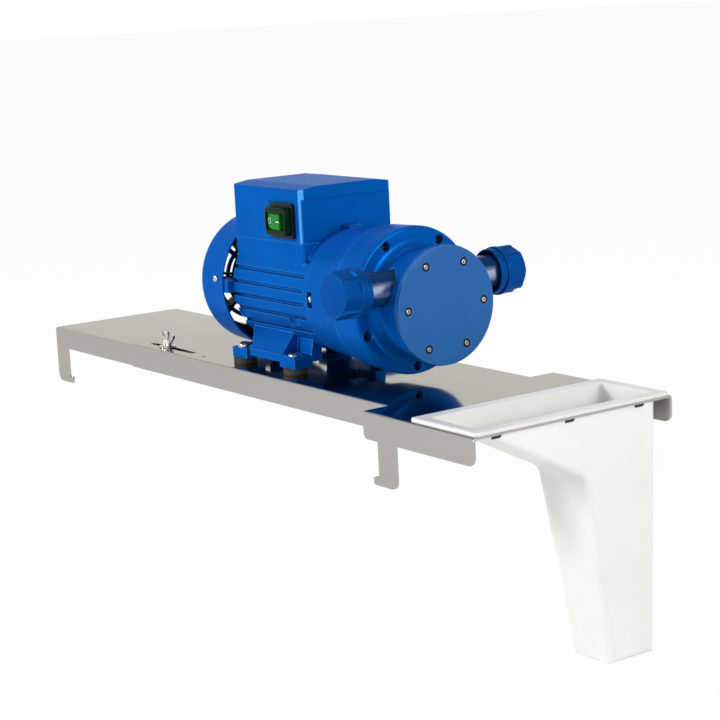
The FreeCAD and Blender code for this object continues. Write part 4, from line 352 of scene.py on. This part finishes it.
metals = {
    "sheet_steel": {
        "colour": (0.455, 0.445, 0.43), "shade": (0.425, 0.415, 0.40), "edge": (0.6, 0.59, 0.57),
        "rough": (0.06, 0.11), "grain": (0.0016, 0.0005, 0.5), "stretch": (0.05, 1, 1), "depth": 0.000004,
        "round": 0.0006, "tint": (0.79, 0.775, 0.73),
    },
    "zinc_steel": {
        "colour": (0.56, 0.555, 0.54), "shade": (0.42, 0.415, 0.40), "edge": (0.72, 0.72, 0.7),
        "rough": (0.16, 0.28), "grain": (0.0012, 0.0003, 0.5), "depth": 0.00001, "round": 0.0003,
    },
    "dark_steel": {
        "colour": (0.030, 0.032, 0.040), "shade": (0.018, 0.019, 0.024), "edge": (0.2, 0.2, 0.21),
        "rough": (0.4, 0.55), "grain": (0.0012, 0.0003, 0.5), "depth": 0.00001, "round": 0.0003,
    },
    "bearing_steel": {
        "colour": (0.6, 0.6, 0.62), "shade": (0.55, 0.55, 0.57), "edge": (0.75, 0.75, 0.75),
        "rough": (0.12, 0.2), "grain": (0.001, 0.0003, 0.5), "depth": 0.000004, "round": 0.0003,
    },
    "aluminium": {
        "colour": (0.62, 0.62, 0.64), "shade": (0.54, 0.54, 0.56), "edge": (0.75, 0.75, 0.77),
        "rough": (0.3, 0.44), "grain": (0.0022, 0.0005, 0.5), "depth": 0.00003, "round": 0.0005,
    },
    "core_steel": {
        "colour": (0.34, 0.34, 0.35), "shade": (0.26, 0.26, 0.27), "edge": (0.5, 0.5, 0.5),
        "rough": (0.34, 0.48), "grain": (0.0022, 0.0005, 0.5), "stretch": (8, 1, 1), "depth": 0.00003,
        "round": 0.0003,
    },
    "winding_copper": {
        "colour": (0.58, 0.25, 0.1), "shade": (0.45, 0.18, 0.07), "edge": (0.7, 0.36, 0.2),
        "rough": (0.26, 0.4), "grain": (0.003, 0.0008, 0.5), "stretch": (3, 1, 1), "depth": 0.00006,
        "round": 0.0005,
    },
}

noiseSpan = (0.3, 0.7)      # the noises keep near their middle, so this span is stretched to the whole
# the painted highlight on upright bevels follows this span
bevelHighlightSpan = (0.38, 0.49)    # product of a normal's x and y where an upright bevel starts and is full
edgeSheenLeast = 0.2            # how much of an edge's painted highlight and wear shows where the grain is lowest


def blendColour(tree, share, first, second):
    # both colours may be sockets or plain RGB; 6, 7 and 2 are the node's colour sockets
    mix = addNode(tree, "ShaderNodeMix", data_type="RGBA")
    for socket, value in ((mix.inputs["Factor"], share), (mix.inputs[6], first), (mix.inputs[7], second)):
        if isinstance(value, bpy.types.NodeSocket):
            tree.links.new(value, socket)
        else:
            socket.default_value = value if isinstance(value, float) else (*value, 1)
    return mix.outputs[2]


def stretchSpan(tree, value, span, lowest=0.0, highest=1.0):
    return addNode(tree, "ShaderNodeMapRange", {
        "Value": value, "From Min": span[0], "From Max": span[1],
        "To Min": lowest, "To Max": highest}).outputs["Result"]


def startSurface(tree, look, groups):
    # the grain and edge masks of a finish, and its shader with roughness, relief and gloss
    coarse, fine, share = look["grain"]
    grain = useGroup(tree, groups["grain"], {
        "Coarse size": coarse, "Fine size": fine, "Coarse share": share, "Stretch": look.get("stretch", (1, 1, 1))})
    edgeParts = useGroup(tree, groups["edge"], {"Radius": look["round"]})
    bump = addNode(tree, "ShaderNodeBump", {
        "Height": grain["Height"], "Distance": look["depth"], "Normal": edgeParts["Normal"]})
    shader = addNode(tree, "ShaderNodeBsdfPrincipled", {
        "Roughness": stretchSpan(tree, grain["Height"], noiseSpan, *look["rough"]),
        "Normal": bump.outputs["Normal"]})
    if "gloss" in look:
        shader.inputs["Specular IOR Level"].default_value = look["gloss"]
    addNode(tree, "ShaderNodeOutputMaterial", {"Surface": shader.outputs[0]})
    return grain, edgeParts, shader


def makeFinish(name, look, metal, groups):
    material, tree = newMaterial(name)
    grain, edgeParts, shader = startSurface(tree, look, groups)
    patches = stretchSpan(tree, grain["Patch"], noiseSpan)
    colour = blendColour(tree, patches, look["shade"], look["colour"])
    # painted highlight along edges, partly edge wear: the edge colour goes where the rounded normal turns away
    edgeSheenAndWear = maths(tree, "MULTIPLY", edgeParts["Edge"], maths(tree, "ADD", grain["Height"], edgeSheenLeast), clamp=True)
    colour = blendColour(tree, edgeSheenAndWear, colour, look["edge"])
    if "dust" in look:
        dust = useGroup(tree, groups["dust"], {"Amount": look["dust"]})
        colour = blendColour(tree, dust["Haze"], colour, dustLook["colour"])
    if "bevel" in look:
        # painted highlight: upright bevels, which face between X and Y, are made lighter
        normal = addNode(tree, "ShaderNodeNewGeometry").outputs["Normal"]
        facing = addNode(tree, "ShaderNodeSeparateXYZ", {0: normal}).outputs
        both = maths(tree, "ABSOLUTE", maths(tree, "MULTIPLY", facing["X"], facing["Y"]))
        colour = blendColour(tree, stretchSpan(tree, both, bevelHighlightSpan), colour, look["bevel"])
    tree.links.new(colour, shader.inputs["Base Color"])
    shader.inputs["Metallic"].default_value = 1.0 if metal else look.get("metal", 0.0)
    if "tint" in look:
        shader.inputs["Specular Tint"].default_value = (*look["tint"], 1)
    if "glow" in look:
        weight, reach = look["glow"]
        shader.inputs["Subsurface Weight"].default_value = weight
        shader.inputs["Subsurface Scale"].default_value = reach
        shader.inputs["Subsurface Radius"].default_value = (1, 0.95, 0.9)       # warm light goes deepest
    return material


neckLook = {
    # the bare band is a painted highlight on the neck's flanks
    "paint": (0.002, 0.036, 0.125), "bare": (0.34, 0.38, 0.52),
    "band": 0.0016, "fade": 0.0048, "lift": 0.0008, "ragged": 0.009,        # the bare band, in metres
    "until": 0.0635,                                                        # from the pump's middle, in metres
    "rough": (0.16, 0.3), "grain": (0.004, 0.00025, 0.5), "stretch": (1, 0.05, 1), "depth": 0.00001,
    "round": 0.0004, "gloss": 0.1,
}


def makeNeckFinish(groups):
    # blue paint with a band of bare metal along the flanks of a port neck, round the height of its axis: a painted
    # highlight, placed where a band of light falls
    low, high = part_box("inlet_fitting")
    material, tree = newMaterial("port_neck")
    grain, edgeParts, shader = startSurface(tree, neckLook, groups)
    place = addNode(tree, "ShaderNodeTexCoord").outputs["Object"]
    parts = addNode(tree, "ShaderNodeSeparateXYZ", {0: place}).outputs
    away = maths(tree, "SUBTRACT", parts["Z"], (low.z + high.z) / 2 + neckLook["lift"])
    shift = maths(tree, "MULTIPLY", maths(tree, "SUBTRACT", grain["Height"], 0.5), neckLook["ragged"])
    away = maths(tree, "ADD", maths(tree, "ABSOLUTE", away), shift)
    fade = (neckLook["band"], neckLook["band"] + neckLook["fade"])
    inReach = maths(tree, "LESS_THAN", maths(tree, "ABSOLUTE", parts["Y"]), neckLook["until"])
    # painted highlight: bare metal in a band round the axis height, with ragged edges
    highlightBand = maths(tree, "MULTIPLY", stretchSpan(tree, away, fade, 1.0, 0.0), inReach)
    tree.links.new(blendColour(tree, highlightBand, neckLook["paint"], neckLook["bare"]), shader.inputs["Base Color"])
    tree.links.new(highlightBand, shader.inputs["Metallic"])
    return material


def makeFinishes():
    groups = {"grain": makeGrainGroup(), "edge": makeEdgeGroup(), "dust": makeDustGroup()}
    made = {name: makeFinish(name, look, False, groups) for name, look in finishes.items()}
    made.update({name: makeFinish(name, look, True, groups) for name, look in metals.items()})
    made["fitting_steel"] = makeNeckFinish(groups)
    return made


slotOf = {part["node"]: part["material_slot"] for part in frame["record"]["subparts"]}
bodyOf = {node: body for body, members in frame["record"]["behaviour"]["bodies"].items() for node in members}
ownFinish = {       # the rest wear their slot's finish
    "terminal_box": "hood_paint", "box_cover": "hood_paint", "head_screws": "dark_steel",
}
smoothUpTo = 32     # degrees, on the copies of CAD nodes


def dressNode(name, dressing):
    # a CAD node keeps its shape and gets its finish
    piece = nodes[name]
    piece.data.materials.clear()
    piece.data.materials.append(dressing)


def smoothCopy(name, dressing):
    # a welded copy of a CAD node, smooth over its round faces
    mesh = bpy.data.meshes.new(name + "Shell")
    source = nodes[name].data
    mesh.from_pydata([v.co[:] for v in source.vertices], [], [p.vertices[:] for p in source.polygons])
    work = bmesh.new()
    work.from_mesh(mesh)
    bmesh.ops.remove_doubles(work, verts=work.verts, dist=weldGap)
    work.to_mesh(mesh)
    work.free()
    mesh.shade_smooth()
    mesh.set_sharp_from_angle(angle=math.radians(smoothUpTo))
    mesh.materials.append(dressing)
    piece = bpy.data.objects.new(name + "Shell", mesh)
    bpy.context.scene.collection.objects.link(piece)
    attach(piece, bodyOf[name])
    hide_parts(name)


# Fasteners: one turned screw a set, put on the CAD screws' places by Geometry Nodes
screwKinds = {
    # head outline as (share of radius, share of height above the seat), recess as (kind, width share, depth share),
    # brightFrom as the place in the outline where the bright middle of a head starts; its dark rim outside is painted
    # shade
    "socket": {"outline": ((1.0, 0.0), (1.0, 0.86), (0.95, 0.96), (0.88, 1.0)), "recess": ("hex", 0.5, 0.62)},
    "countersunk": {"outline": ((0.58, 0.0), (1.0, 0.86), (1.0, 0.97), (0.95, 1.0), (0.53, 0.86), (0.52, 1.0),
                                (0.46, 1.05)),
                    "recess": ("hex", 0.24, 0.8), "brightFrom": 4},
    "pan": {"outline": ((1.0, 0.0), (1.0, 0.3), (0.93, 0.66), (0.78, 0.88), (0.55, 1.0)),
            "recess": ("cross", 0.36, 0.6)},
    "dome": {"outline": ((1.0, 0.0), (1.0, 0.12), (0.95, 0.45), (0.8, 0.75), (0.58, 1.0)),
             "recess": ("hex", 0.42, 0.6)},
}

screwShape = {
    "sides": 48, "smooth": 35,          # faces round a head, and degrees
    "nose": 0.3,                        # mm, the bevel at a shank's end
    "lip": 1.12, "lipDrop": 0.04,       # the recess's bevel, as shares of its width and of the head's height
    "crossWaist": 0.36, "crossPower": 3,
}

screwSets = {
    # node: kind, head height in mm, direction it looks (None is away from the shaft line), seed
    "head_screws": ("socket", 4.0, (1, 0, 0), 3),
    "front_cover_screws": ("countersunk", 1.5, (1, 0, 0), 5),
    "housing_screws": ("pan", 2.8, (1, 0, 0), 7),
    "cowl_screws": ("pan", 1.8, None, 11),
    "cover_screws": ("pan", 2.0, (-1, 0, 0), 13),
    "foot_bolts": ("dome", 2.87, (0, 0, 1), 17),
}


def solidsOf(name):
    # the points of each separate solid of a CAD node
    mesh = bmesh.new()
    mesh.from_mesh(nodes[name].data)
    bmesh.ops.remove_doubles(mesh, verts=mesh.verts, dist=weldGap)
    left = set(mesh.verts)
    solids = []
    for first in mesh.verts:
        if first not in left:
            continue
        left.discard(first)
        waiting, found = [first], []
        while waiting:
            point = waiting.pop()
            found.append(point.co.copy())
            for edge in point.link_edges:
                other = edge.other_vert(point)
                if other in left:
                    left.discard(other)
                    waiting.append(other)
        solids.append(found)
    mesh.free()
    return solids


def measureScrew(points, direction, headHigh):
    # seat, look, radii and shank length of one CAD screw
    middle = sum(points, Vector()) / len(points)
    if direction is None:
        direction = (0, middle.y, middle.z - shaftHeight)
    look = Vector(direction).normalized()
    heights = [p.dot(look) for p in points]
    tip, end = max(heights), min(heights)
    crown = [p for p, h in zip(points, heights) if h > tip - sameLevel]
    centre = sum(crown, Vector()) / len(crown)
    spread = [((p - centre) - look * (p - centre).dot(look)).length for p in points]
    foot = [r for r, h in zip(spread, heights) if h < end + sameLevel]
    seat = centre - look * headHigh * mm
    return {"seat": seat, "look": look, "head": max(spread), "shank": max(foot), "long": tip - end - headHigh * mm}


def ringOf(mesh, radii, angles, z):
    return [mesh.verts.new((r * math.cos(a), r * math.sin(a), z)) for r, a in zip(radii, angles)]


def recessRadius(kind, width, angle):
    # distance from the middle to the recess wall at an angle
    if kind == "hex":
        sector = math.radians(60)
        return width * math.cos(sector / 2) / math.cos((angle % sector) - sector / 2)
    waist = screwShape["crossWaist"]
    arm = 1 - abs(math.sin(2 * angle))
    return width * (waist + (1 - waist) * arm ** screwShape["crossPower"])


def makeScrew(name, kind, size, high):
    # a screw whose head sits on z = 0 and looks along +Z
    look, sides = screwKinds[kind], screwShape["sides"]
    mesh = bmesh.new()
    angles = [2 * math.pi * i / sides for i in range(sides)]
    nose = screwShape["nose"] * mm
    shank = [(size["shank"] - nose, -size["long"]), (size["shank"], -size["long"] + nose), (size["shank"], 0)]
    head = [(size["head"] * share, high * up) for share, up in look["outline"]]
    rings = [ringOf(mesh, [r] * sides, angles, z) for r, z in shank + head]
    shape, width, depth = look["recess"]
    walls = [recessRadius(shape, size["head"] * width, a) for a in angles]
    crown = high * look["outline"][-1][1]
    recess = [(screwShape["lip"], crown), (1.0, crown - high * screwShape["lipDrop"]), (1.0, high * (1 - depth))]
    rings += [ringOf(mesh, [r * grown for r in walls], angles, z) for grown, z in recess]
    # zone 1 is painted shade: the recess and a countersunk head's rim get the dark finish
    shadeZone = mesh.faces.layers.int.new("shadeZone")        # 0 is bright, 1 is dark
    lastBright = len(rings) - len(recess)
    bright = range(lastBright + 1)
    if "brightFrom" in look:
        bright = range(len(shank) + look["brightFrom"], lastBright)
    for level, (lower, upper) in enumerate(zip(rings, rings[1:])):
        for i in range(sides):
            j = (i + 1) % sides
            face = mesh.faces.new((lower[i], lower[j], upper[j], upper[i]))
            face[shadeZone] = 0 if level in bright else 1
    floor = mesh.faces.new(rings[-1])
    floor[shadeZone] = 1
    mesh.faces.new(list(reversed(rings[0])))
    bmesh.ops.recalc_face_normals(mesh, faces=mesh.faces)
    data = bpy.data.meshes.new(name)
    mesh.to_mesh(data)
    mesh.free()
    data.shade_smooth()
    data.set_sharp_from_angle(angle=math.radians(screwShape["smooth"]))
    return bpy.data.objects.new(name, data)


def makeSetTree():
    # puts copies of a piece on points, aimed by their "look", each turned about its own axis by chance
    tree, given, wanted = newGroup("pieceSet", {
        "Points": ("NodeSocketGeometry", None),
        "Piece": ("NodeSocketObject", None),
        "Seed": ("NodeSocketInt", 1),
        "Finish": ("NodeSocketMaterial", None),
    }, {"Geometry": "NodeSocketGeometry"}, "GeometryNodeTree")
    piece = addNode(tree, "GeometryNodeObjectInfo", {"Object": given["Piece"], "As Instance": True})
    look = addNode(tree, "GeometryNodeInputNamedAttribute", {"Name": "look"}, data_type="FLOAT_VECTOR")
    aim = addNode(tree, "FunctionNodeAlignRotationToVector", {"Vector": look.outputs["Attribute"]}, axis="Z")
    chance = addNode(tree, "FunctionNodeRandomValue", {      # 2 and 3 are the limits of a plain number
        2: 0.0, 3: 2 * math.pi, "Seed": given["Seed"]}, data_type="FLOAT")
    spin = addNode(tree, "FunctionNodeAxisAngleToRotation", {"Axis": (0, 0, 1), "Angle": chance.outputs[1]})
    turned = addNode(tree, "FunctionNodeRotateRotation", {
        "Rotation": aim.outputs[0], "Rotate By": spin.outputs[0]}, rotation_space="LOCAL")
    copies = addNode(tree, "GeometryNodeInstanceOnPoints", {
        "Points": given["Points"], "Instance": piece.outputs["Geometry"], "Rotation": turned.outputs[0]})
    solid = addNode(tree, "GeometryNodeRealizeInstances", {"Geometry": copies.outputs[0]})
    dressed = addNode(tree, "GeometryNodeSetMaterial", {"Geometry": solid.outputs[0], "Material": given["Finish"]})
    tree.links.new(dressed.outputs[0], wanted["Geometry"])
    return tree


def bakeTree(name, carrier, tree, inputs):
    # runs a tree on a mesh and keeps the result as a plain mesh
    bpy.context.scene.collection.objects.link(carrier)
    modifier = carrier.modifiers.new("set", "NODES")
    modifier.node_group = tree
    for item in tree.interface.items_tree:
        if item.in_out == "INPUT" and item.name in inputs:
            modifier[item.identifier] = inputs[item.name]
    bpy.context.view_layer.update()
    result = bpy.data.meshes.new_from_object(carrier.evaluated_get(bpy.context.evaluated_depsgraph_get()))
    bpy.data.objects.remove(carrier)
    return result


def standFor(name, mesh, *hidden, body=None):
    # a finished mesh becomes a piece that stands for CAD nodes
    piece = bpy.data.objects.new(name, mesh)
    bpy.context.scene.collection.objects.link(piece)
    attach(piece, body or bodyOf[hidden[0]])
    if hidden:
        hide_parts(*hidden)
    return piece


def makeScrewSet(node, tree):
    kind, headHigh, direction, seed = screwSets[node]
    found = [measureScrew(points, direction, headHigh) for points in solidsOf(node)]
    screw = makeScrew(node + "Master", kind, found[0], headHigh * mm)
    mesh = bpy.data.meshes.new(node + "Seats")
    mesh.from_pydata([one["seat"] for one in found], [], [])
    looks = mesh.attributes.new("look", "FLOAT_VECTOR", "POINT")
    for one, cell in zip(found, looks.data):
        cell.vector = one["look"]
    carrier = bpy.data.objects.new(node + "Seats", mesh)
    dressing = finish[ownFinish.get(node, slotOf[node])]
    result = bakeTree(node + "Set", carrier, tree, {"Piece": screw, "Seed": seed, "Finish": dressing})
    result.materials.clear()
    # the dark second finish is painted shade in recesses and on countersunk rims
    for one in (dressing, finish["dark_steel"]):
        result.materials.append(one)
    for face, shadeZone in zip(result.polygons, result.attributes["shadeZone"].data):
        face.material_index = shadeZone.value
    result.name = node + "Set"
    bpy.data.objects.remove(screw)
    standFor(node + "Set", result, node)


# Switch: a rocker under a moulded cover, seen from -Y
switchNodes = {"switch_boot", "switch_rocker"}
bootShape = {
    "wall": 1.8, "rim": 1.3, "corner": 3.4, "lip": 0.5, "mouthHigh": 14.2, "mouthCorner": 1.4,      # mm
    "rimSteps": 5, "lipSteps": 3, "smooth": 40,         # smooth up to these degrees
}
rockerShape = {
    "half": 11.6, "reach": 11.1, "pivotIn": 1.5, "drop": 0.9, "foot": -1, "slant": 2, "edge": 0.5,      # mm
    "edgeSteps": 3, "tilt": -9, "smooth": 30,           # tilt and smooth in degrees
}
markShape = {
    "lift": 0.05, "thick": 0.12,                        # mm above the rocker's face
    "ring": {"at": -7.6, "radius": 2.75, "line": 0.75, "stretch": 1.2, "sides": 40},
    "bar": {"at": 8.0, "long": 5.6, "high": 0.95},
    "smooth": 30,
}


def roundedLoop(mesh, middle, halfWide, halfHigh, corner, y, steps=7):
    # points of a rounded rectangle in a plane of constant y
    loop = []
    for quarter, (sx, sz) in enumerate(((1, 1), (-1, 1), (-1, -1), (1, -1))):
        cx = middle.x + sx * (halfWide - corner)
        cz = middle.z + sz * (halfHigh - corner)
        for step in range(steps):
            angle = math.pi / 2 * (quarter + step / (steps - 1))
            loop.append(mesh.verts.new((cx + corner * math.cos(angle), y, cz + corner * math.sin(angle))))
    return loop


def joinLoops(mesh, loops, closed):
    pairs = list(zip(loops, loops[1:]))
    if closed:
        pairs.append((loops[-1], loops[0]))
    for first, second in pairs:
        for i in range(len(first)):
            j = (i + 1) % len(first)
            mesh.faces.new((first[i], first[j], second[j], second[i]))


def finishMesh(mesh, name, dressing, angle):
    bmesh.ops.recalc_face_normals(mesh, faces=mesh.faces)
    data = bpy.data.meshes.new(name)
    mesh.to_mesh(data)
    mesh.free()
    data.shade_smooth()
    data.set_sharp_from_angle(angle=math.radians(angle))
    data.materials.append(dressing)
    return data


def makeBoot():
    # the moulded cover: a rounded frame whose rim curls over towards the rocker
    low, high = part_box("switch_boot")
    middle = (low + high) / 2
    wide, tall = (high.x - low.x) / 2, (high.z - low.z) / 2
    wall, rim, corner, lip = (bootShape[k] * mm for k in ("wall", "rim", "corner", "lip"))
    mouthWide, mouthTall, mouthCorner = wide - wall, bootShape["mouthHigh"] / 2 * mm, bootShape["mouthCorner"] * mm
    mesh = bmesh.new()
    loops = [roundedLoop(mesh, middle, wide, tall, corner, high.y)]
    for step in range(bootShape["rimSteps"] + 1):
        turn = math.pi / 2 * step / bootShape["rimSteps"]
        inset = rim * (1 - math.cos(turn))
        y = low.y + rim * (1 - math.sin(turn))
        loops.append(roundedLoop(mesh, middle, wide - inset, tall - inset, corner - inset / 2, y))
    for step in range(bootShape["lipSteps"] + 1):
        turn = math.pi / 2 * (1 - step / bootShape["lipSteps"])
        out = lip * (1 - math.cos(turn))
        y = low.y + lip * (1 - math.sin(turn))
        loops.append(roundedLoop(mesh, middle, mouthWide + out, mouthTall + out, mouthCorner, y))
    loops.append(roundedLoop(mesh, middle, mouthWide, mouthTall, mouthCorner, high.y))
    joinLoops(mesh, loops, True)
    data = finishMesh(mesh, "switchCover", finish[slotOf["switch_boot"]], bootShape["smooth"])
    standFor("switchCover", data, "switch_boot")


def makeRocker():
    # a key with a ridge across its middle, in the tilt of the CAD rocker
    low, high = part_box("switch_rocker")
    bootLow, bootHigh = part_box("switch_boot")
    pivot = Vector(((bootLow.x + bootHigh.x) / 2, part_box("box_cover")[0].y + rockerShape["pivotIn"] * mm, 0))
    tilt = Matrix.Rotation(math.radians(rockerShape["tilt"]), 3, "Z")
    half, reach, drop, slant, foot = (rockerShape[k] * mm for k in ("half", "reach", "drop", "slant", "foot"))
    outline = [(-half + slant, foot), (-half, -reach + drop), (0, -reach), (half, -reach + drop), (half - slant, foot)]
    mesh = bmesh.new()
    ends = []
    for z in (low.z, high.z):
        ends.append([mesh.verts.new(pivot + tilt @ Vector((u, v, 0)) + Vector((0, 0, z))) for u, v in outline])
    joinLoops(mesh, ends, False)
    mesh.faces.new(ends[0])
    mesh.faces.new(list(reversed(ends[1])))
    bmesh.ops.bevel(mesh, geom=mesh.edges[:], offset=rockerShape["edge"] * mm,
                    segments=rockerShape["edgeSteps"], affect="EDGES")
    data = finishMesh(mesh, "switchKey", finish[slotOf["switch_rocker"]], rockerShape["smooth"])
    standFor("switchKey", data, "switch_rocker")

    def onFace(u, z, lift):
        # a point on the sloping face, u across and z up, a little proud of it
        v = -reach + drop / half * abs(u) - lift * mm
        return pivot + tilt @ Vector((u, v, 0)) + Vector((0, 0, (low.z + high.z) / 2 + z))

    makeMarks(onFace)


def makeMarks(onFace):
    # a ring and a bar, thin raised shapes on the key's two slopes
    ring, bar = markShape["ring"], markShape["bar"]
    top, bottom = markShape["lift"], markShape["lift"] - markShape["thick"]
    mesh = bmesh.new()

    def layLine(line, lift):
        return [mesh.verts.new(onFace(u * mm, z * mm, lift)) for u, z in line]

    turns = [2 * math.pi * i / ring["sides"] for i in range(ring["sides"])]
    outer, inner = (
        [(ring["at"] + r * ring["stretch"] * math.cos(a), r * math.sin(a)) for a in turns]
        for r in (ring["radius"], ring["radius"] - ring["line"]))
    joinLoops(mesh, [layLine(outer, bottom), layLine(outer, top), layLine(inner, top), layLine(inner, bottom)], True)
    start, end, half = bar["at"] - bar["long"] / 2, bar["at"] + bar["long"] / 2, bar["high"] / 2
    plate = [(start, -half), (end, -half), (end, half), (start, half)]
    under, over = layLine(plate, bottom), layLine(plate, top)
    joinLoops(mesh, [under, over], False)
    mesh.faces.new(over)
    mesh.faces.new(list(reversed(under)))
    data = finishMesh(mesh, "switchMarks", finish["white_plastic"], markShape["smooth"])
    standFor("switchMarks", data, body=bodyOf["switch_rocker"])


# Union caps: round at the mouth, flat windows between thin ribs towards the closed end
capNodes = {"port_cap_near": -1, "port_cap_far": 1}       # the side of the pump that each is on
capShape = {
    "windows": 8, "steps": 6,                           # steps are the faces across a window
    "ribHalf": 5.0, "wallTurn": 2.0, "smooth": 28,      # degrees
    "bore": 16.9, "roof": 3.0, "lead": 0.6,             # mm
    # mm from the mouth, radius on a rib, distance of a window's floor (None is round)
    "outline": (
        (0, 18.6, None), (0.6, 19.2, None), (5.2, 19.2, None), (5.5, 18.5, None), (6.5, 18.5, None),
        (6.8, 20.2, None), (7.2, 20.5, None), (10.4, 20.5, None), (10.8, 20.2, None), (11.3, 20.0, None),
        (12.0, 20.0, 18.1), (24.9, 20.0, 18.1), (25.8, 19.3, 18.0), (26.5, 18.2, 17.8), (27.0, 17.5, None),
    ),
}


def makeCap(node, side):
    low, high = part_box(node)
    middle = (low + high) / 2
    mouth = high.y if side < 0 else low.y
    sector = 360 / capShape["windows"]
    start = capShape["ribHalf"] + capShape["wallTurn"]
    step = (sector - 2 * start) / capShape["steps"]
    ribTurns = [-capShape["ribHalf"], 0, capShape["ribHalf"]]
    turns = ribTurns + [start + step * i for i in range(capShape["steps"] + 1)]
    mesh = bmesh.new()

    def capRing(along, onRib, floorAt=None):
        ring = []
        for window in range(capShape["windows"]):
            for number, turn in enumerate(turns):
                radius = onRib
                if floorAt and number >= len(ribTurns):
                    radius = min(onRib, floorAt / math.cos(math.radians(turn - sector / 2)))
                angle = math.radians(turn + window * sector)
                ring.append(mesh.verts.new((
                    middle.x + radius * math.cos(angle) * mm, mouth + side * along * mm,
                    middle.z + radius * math.sin(angle) * mm)))
        return ring

    long = capShape["outline"][-1][0]
    inside = [
        capRing(long - capShape["roof"], capShape["bore"]), capRing(capShape["lead"], capShape["bore"]),
        capRing(0, capShape["bore"] + capShape["lead"]),
    ]
    outside = [capRing(*station) for station in capShape["outline"]]
    joinLoops(mesh, inside + outside, False)
    mesh.faces.new(inside[0])
    mesh.faces.new(outside[-1])
    name = node + "Ribbed"
    standFor(name, finishMesh(mesh, name, finish[slotOf[node]], capShape["smooth"]), node)


# Pieces shut inside the housings, which keep the CAD mesh
sealedNodes = {
    "stator_core", "stator_windings", "rotor_core", "motor_shaft", "shaft_key", "bearing_outer_rings",
    "bearing_inner_rings", "bearing_balls", "shield_screws", "capacitor", "terminal_block", "drive_hub",
    "hub_bearing", "wobble_plate", "piston_discs", "piston_screws", "inlet_valves", "outlet_valves",
    "front_cover_seal", "cap_seal_near", "cap_seal_far", "fitting_seals", "switch_body", "foot_nuts",
}

finish = makeFinishes()
print("finishes made:", len(finish))
makeCamera()
makeFloor()
makeRoom()
print("studio made")

makeBoot()
makeRocker()
print("switch made")
for nodeName, capSide in capNodes.items():
    makeCap(nodeName, capSide)
print("caps made:", len(capNodes))

shaftHeight = (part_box("motor_shaft")[0].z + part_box("motor_shaft")[1].z) / 2
setTree = makeSetTree()
for nodeName in screwSets:
    makeScrewSet(nodeName, setTree)
print("screw sets made:", len(screwSets))

for nodeName in sorted(nodes):
    if nodeName in screwSets or nodeName in switchNodes or nodeName in capNodes:
        continue
    if nodeName in sealedNodes:
        dressNode(nodeName, finish[slotOf[nodeName]])
    else:
        smoothCopy(nodeName, finish[ownFinish.get(nodeName, slotOf[nodeName])])
print("nodes dressed:", len(nodes))
